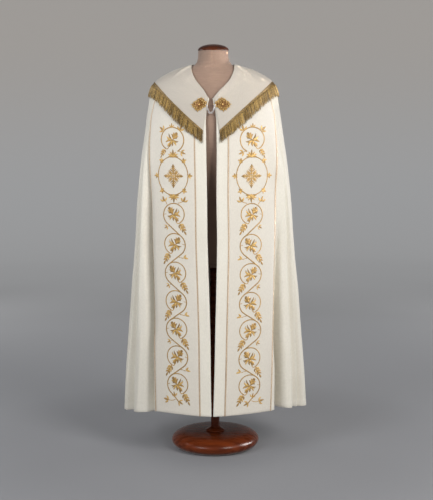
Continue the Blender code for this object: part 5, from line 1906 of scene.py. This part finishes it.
# ------------------------------------------------------------------ the dress form
@dataclass
class DressForm:
    """The limbless linen form with its wooden cap, pole and base."""

    columns: int = 96
    rows: int = 150
    base_radius: float = 0.190
    base_height: float = 0.068
    base_edge: float = 0.062
    base_middle: float = 0.031
    base_flat: float = 0.150
    pole_radius: float = 0.019
    flange_radius: float = 0.041
    flange_height: float = 0.024
    neck_top: float = 1.709
    neck_radius: float = 0.0635
    cap_height: float = 0.027
    gap: float = 0.0003

    def torso(self, wardrobe: Wardrobe) -> bpy.types.Object:
        """The linen body: half ellipses at each height, with seams drawn in as shallow grooves."""
        marks = np.array([row.height for row in FORM_SECTIONS])
        fine = np.linspace(0, len(marks) - 1, self.rows)
        height = np.interp(fine, np.arange(len(marks)), marks)[::-1]
        width, front, back = (
            np.interp(height, marks, [getattr(row, column) for row in FORM_SECTIONS])[:, None]
            for column in ("half_width", "front", "back")
        )
        turn = whole_turn(self.columns)
        seams = np.radians([0, 35, 90, 145, 180, 215, 270, 325])
        away = np.abs((turn[:, None] - seams + math.pi) % (2 * math.pi) - math.pi).min(axis=1)
        pulled = 1 - 0.004 * np.exp(-((away / 0.03) ** 2)) * (height[:, None] < 1.60)
        depth = np.where(np.cos(turn) > 0, front, back)
        x, y = width * np.sin(turn) * pulled, -depth * np.cos(turn) * pulled
        rings = np.stack([x, y, np.broadcast_to(height[:, None], x.shape)], axis=-1)
        mesh = turned_mesh("linen_torso", rings, height[0], height[-1])
        return add_piece(mesh, (wardrobe.linen.make(),), ["torso"])

    def turned(self, name: str, node: str, wood: bpy.types.Material, radius: Array, height: Array,
               around: int) -> bpy.types.Object:
        """Turn a profile that runs from the axis at the top to the axis at the foot."""
        mesh = turned_mesh(name, circles(radius[1:-1], height[1:-1], around), height[0], height[-1])
        return add_piece(mesh, (wood,), [node])

    def base(self, wood: bpy.types.Material) -> bpy.types.Object:
        """The base: a nearly flat top, an elliptical rolled edge and a flat underside."""
        angle = np.radians(np.linspace(86, -62, 34))
        reach = self.base_height - self.base_middle - 0.0025
        rim_r = self.base_radius - self.base_edge + self.base_edge * np.cos(angle)
        rim_z = self.base_middle + reach * np.sin(angle)
        top_r = np.array([0.0, 0.030, 0.055, 0.080, 0.100, 0.115, 0.125])
        top_z = self.base_height - 0.0022 * (top_r / 0.128) ** 2
        radius = np.concatenate([top_r, rim_r, [self.base_flat + 0.0015, self.base_flat, 0.100, 0.0]])
        height = np.concatenate([top_z, rim_z, [0.0015, 0.0, 0.0, 0.0]])
        return self.turned("wooden_base", "base", wood, radius, height, 144)

    def pole(self, wood: bpy.types.Material) -> bpy.types.Object:
        """The pole: a straight shaft that sweeps out to a flange on the base."""
        foot, top = self.base_height + self.gap, 0.800 - self.gap
        t = np.linspace(0.0, 1.0, 14)
        sweep = self.pole_radius + (self.flange_radius - self.pole_radius) * t ** 2.2
        fall = foot + self.flange_height * (1 - t) * 0.85 + self.flange_height * 0.15
        shaft = np.array([0.0, self.pole_radius - 0.001, self.pole_radius, self.pole_radius])
        radius = np.concatenate([shaft, sweep, [self.flange_radius, 0.0]])
        height = np.concatenate([[top, top, top - 0.001, foot + self.flange_height * 1.1], fall, [foot, foot]])
        return self.turned("wooden_pole", "pole", wood, radius, height, 48)

    def cap(self, wood: bpy.types.Material) -> bpy.types.Object:
        """The neck cap: a low dome over a small rolled lip."""
        foot = self.neck_top + self.gap
        angle = np.radians(np.linspace(90, 0, 20))
        rim = 0.0018
        radius = np.concatenate([(self.neck_radius + 0.0015) * np.cos(angle),
                                 [self.neck_radius + 0.0013, self.neck_radius + 0.0006, self.neck_radius, 0.0]])
        height = np.concatenate([foot + rim + (self.cap_height - rim) * np.sin(angle),
                                 [foot + 0.0011, foot + 0.0004, foot, foot]])
        radius[0] = 0.0
        return self.turned("wooden_cap", "neck_cap", wood, radius, height, 96)

    def build(self, wardrobe: Wardrobe) -> list[bpy.types.Object]:
        """Build the torso, cap, pole and base."""
        wood = wardrobe.mahogany.make()
        # The cap wears the darker copy of the mahogany: painted shade.
        return [self.torso(wardrobe), self.cap(wardrobe.cap_wood.make()), self.pole(wood), self.base(wood)]


# ------------------------------------------------------------------ the studio
@dataclass(frozen=True)
class Softbox:
    """A soft area light: where it stands, what it looks at, its size and its power."""

    name: str
    place: tuple[float, float, float]
    aim: tuple[float, float, float]
    width: float
    height: float
    watts: float
    colour: Colour = (1.0, 1.0, 1.0)
    spread: float = 180.0
    shine_only: bool = False
    shine: bool = True

    def build(self) -> bpy.types.Object:
        """Make the light, unseen by the camera; one for shine only lights no matt surface, one without
        shine isn't mirrored.
        """
        lamp = bpy.data.lights.new(self.name, "AREA")
        lamp.shape = "RECTANGLE"
        lamp.size, lamp.size_y = self.width, self.height
        lamp.energy, lamp.color = self.watts, self.colour
        lamp.spread = math.radians(self.spread)
        light = bpy.data.objects.new(self.name, lamp)
        light.location = self.place
        light.rotation_euler = (Vector(self.aim) - Vector(self.place)).to_track_quat("-Z", "Y").to_euler()
        light.visible_camera = False
        light.visible_diffuse = not self.shine_only
        light.visible_glossy = self.shine
        bpy.context.scene.collection.objects.link(light)
        return light


@dataclass
class Studio:
    """Camera, plain stage and soft lights."""

    focal_pixels: float = 1134.0
    picture_height: float = 500.0
    distance: float = 4.84
    height: float = 1.482
    azimuth: float = 2.2
    tilt: float = 7.28
    roll: float = -0.28
    aside: float = 2.2
    stage_radius: float = 9.0
    cove: float = 3.0
    wall: float = 7.0
    stage: StageFinish = StageFinish(
        "stage", (0.300, 0.305, 0.325), (0.36, 0.36, 0.36), (1.0, 1.03, 1.07), (1.0, 0.93, 0.86),
        ((0.0, 0.012), (0.75, 0.014), (1.2, 0.050), (2.8, 0.064), (3.5, 0.080), (4.6, 0.144), (6.2, 0.177),
         (9.0, 0.212)))
    sky: Colour = (1.0, 1.0, 1.0)
    sky_strength: float = 0.22

    def camera(self) -> bpy.types.Object:
        """Place the camera: a level distance and height from the object's axis, tilted down and rolled."""
        azimuth, tilt, roll = (math.radians(angle) for angle in (self.azimuth, self.tilt, self.roll))
        azimuth_seen = azimuth - math.atan(self.aside / self.focal_pixels)
        forward = Vector((-math.sin(azimuth_seen) * math.cos(tilt), math.cos(azimuth_seen) * math.cos(tilt),
                          -math.sin(tilt)))
        right = forward.cross(Vector((0, 0, 1))).normalized()
        up = right.cross(forward)
        turned_right = right * math.cos(roll) + up * math.sin(roll)
        turned_up = up * math.cos(roll) - right * math.sin(roll)
        lens = bpy.data.cameras.new("camera")
        lens.lens = self.focal_pixels * 36.0 / self.picture_height
        lens.sensor_width = 36.0
        lens.sensor_fit = "AUTO"
        camera = bpy.data.objects.new("camera", lens)
        basis = Matrix((turned_right, turned_up, -forward)).transposed().to_4x4()
        place = Vector((self.distance * math.sin(azimuth), -self.distance * math.cos(azimuth), self.height))
        camera.matrix_world = Matrix.Translation(place) @ basis
        bpy.context.scene.collection.objects.link(camera)
        bpy.context.scene.camera = camera
        return camera

    def floor(self) -> bpy.types.Object:
        """The stage: a flat disc that sweeps up through a quarter circle into a low wall all round."""
        turn = np.radians(np.linspace(0, 90, 16))
        flat = self.stage_radius - self.cove
        radius = np.concatenate([[0.0, 1.0, 3.0], flat + self.cove * np.sin(turn), [self.stage_radius]])
        height = np.concatenate([[0.0, 0.0, 0.0], self.cove * (1 - np.cos(turn)), [self.wall]]) - 0.0002
        rings = circles(radius[1:], height[1:], 96)
        quads, centre, _ = turned_faces(*rings.shape[:2])
        points = np.concatenate([rings.reshape(-1, 3), [(0, 0, height[0])]])
        mesh = bpy.data.meshes.new("stage")
        mesh.from_pydata(points.tolist(), [], quads.tolist() + centre.tolist())
        mesh.shade_smooth()
        mesh.materials.append(self.stage.make())
        stage = bpy.data.objects.new("stage", mesh)
        bpy.context.scene.collection.objects.link(stage)
        stage.visible_glossy = False
        return stage

    def lights(self) -> list[bpy.types.Object]:
        """Key and fill before the garment, a lamp on the neck, two behind, and two seen only as shine."""
        boxes = (
            Softbox("key", (2.05, -2.45, 2.45), (0.0, 0.0, 1.45), 1.5, 1.5, 81.0, (1.0, 0.975, 0.94)),
            Softbox("fill", (-2.0, -2.6, 2.35), (0.0, 0.0, 1.40), 1.6, 1.6, 53.0, (0.97, 0.985, 1.0)),
            Softbox("neck", (2.3, -0.7, 1.95), (0.062, -0.02, 1.69), 0.30, 0.30, 0.17, (1.0, 0.88, 0.68),
                    spread=8.0),
            Softbox("back right", (2.6, 3.0, 1.8), (0.0, 0.0, 0.9), 1.6, 2.0, 28.0, shine=False),
            Softbox("back left", (-2.6, 3.0, 1.8), (0.0, 0.0, 0.9), 1.6, 2.0, 28.0, shine=False),
            Softbox("gloss right", (2.4, 0.35, 1.3), (0.0, 0.0, 0.05), 1.2, 1.2, 130.0, shine_only=True),
            Softbox("gloss left", (-1.9, 0.3, 1.9), (0.0, 0.0, 0.05), 0.7, 0.7, 22.0, shine_only=True),
        )
        world = bpy.data.worlds.new("studio")
        bpy.context.scene.world = world
        world.use_nodes = True
        background = world.node_tree.nodes["Background"]
        background.inputs["Color"].default_value = (*self.sky, 1.0)
        background.inputs["Strength"].default_value = self.sky_strength
        return [box.build() for box in boxes]


def main() -> None:
    """Build the studio and every sub-assembly, in order."""
    logging.basicConfig(level=logging.INFO, format="%(message)s")
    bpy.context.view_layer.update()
    bpy.context.scene.view_settings.view_transform = "Standard"
    studio = Studio()
    studio.camera()
    studio.floor()
    studio.lights()
    wardrobe = Wardrobe()
    form = ClothForm()
    for name, pieces in (
        ("dress form", DressForm().build(wardrobe)),
        ("mantle", Mantle(form).build(wardrobe)),
        ("orphreys", Orphreys(form).build(wardrobe)),
        ("collar", Collar(form).build(wardrobe)),
        ("fringe", [piece for side in Side for piece in Fringe(form, side).build(wardrobe)]),
        ("clasp", Clasp(form).build(wardrobe)),
    ):
        LOG.info("%s: %d pieces", name, len(pieces))


if __name__ == "__main__":
    main()
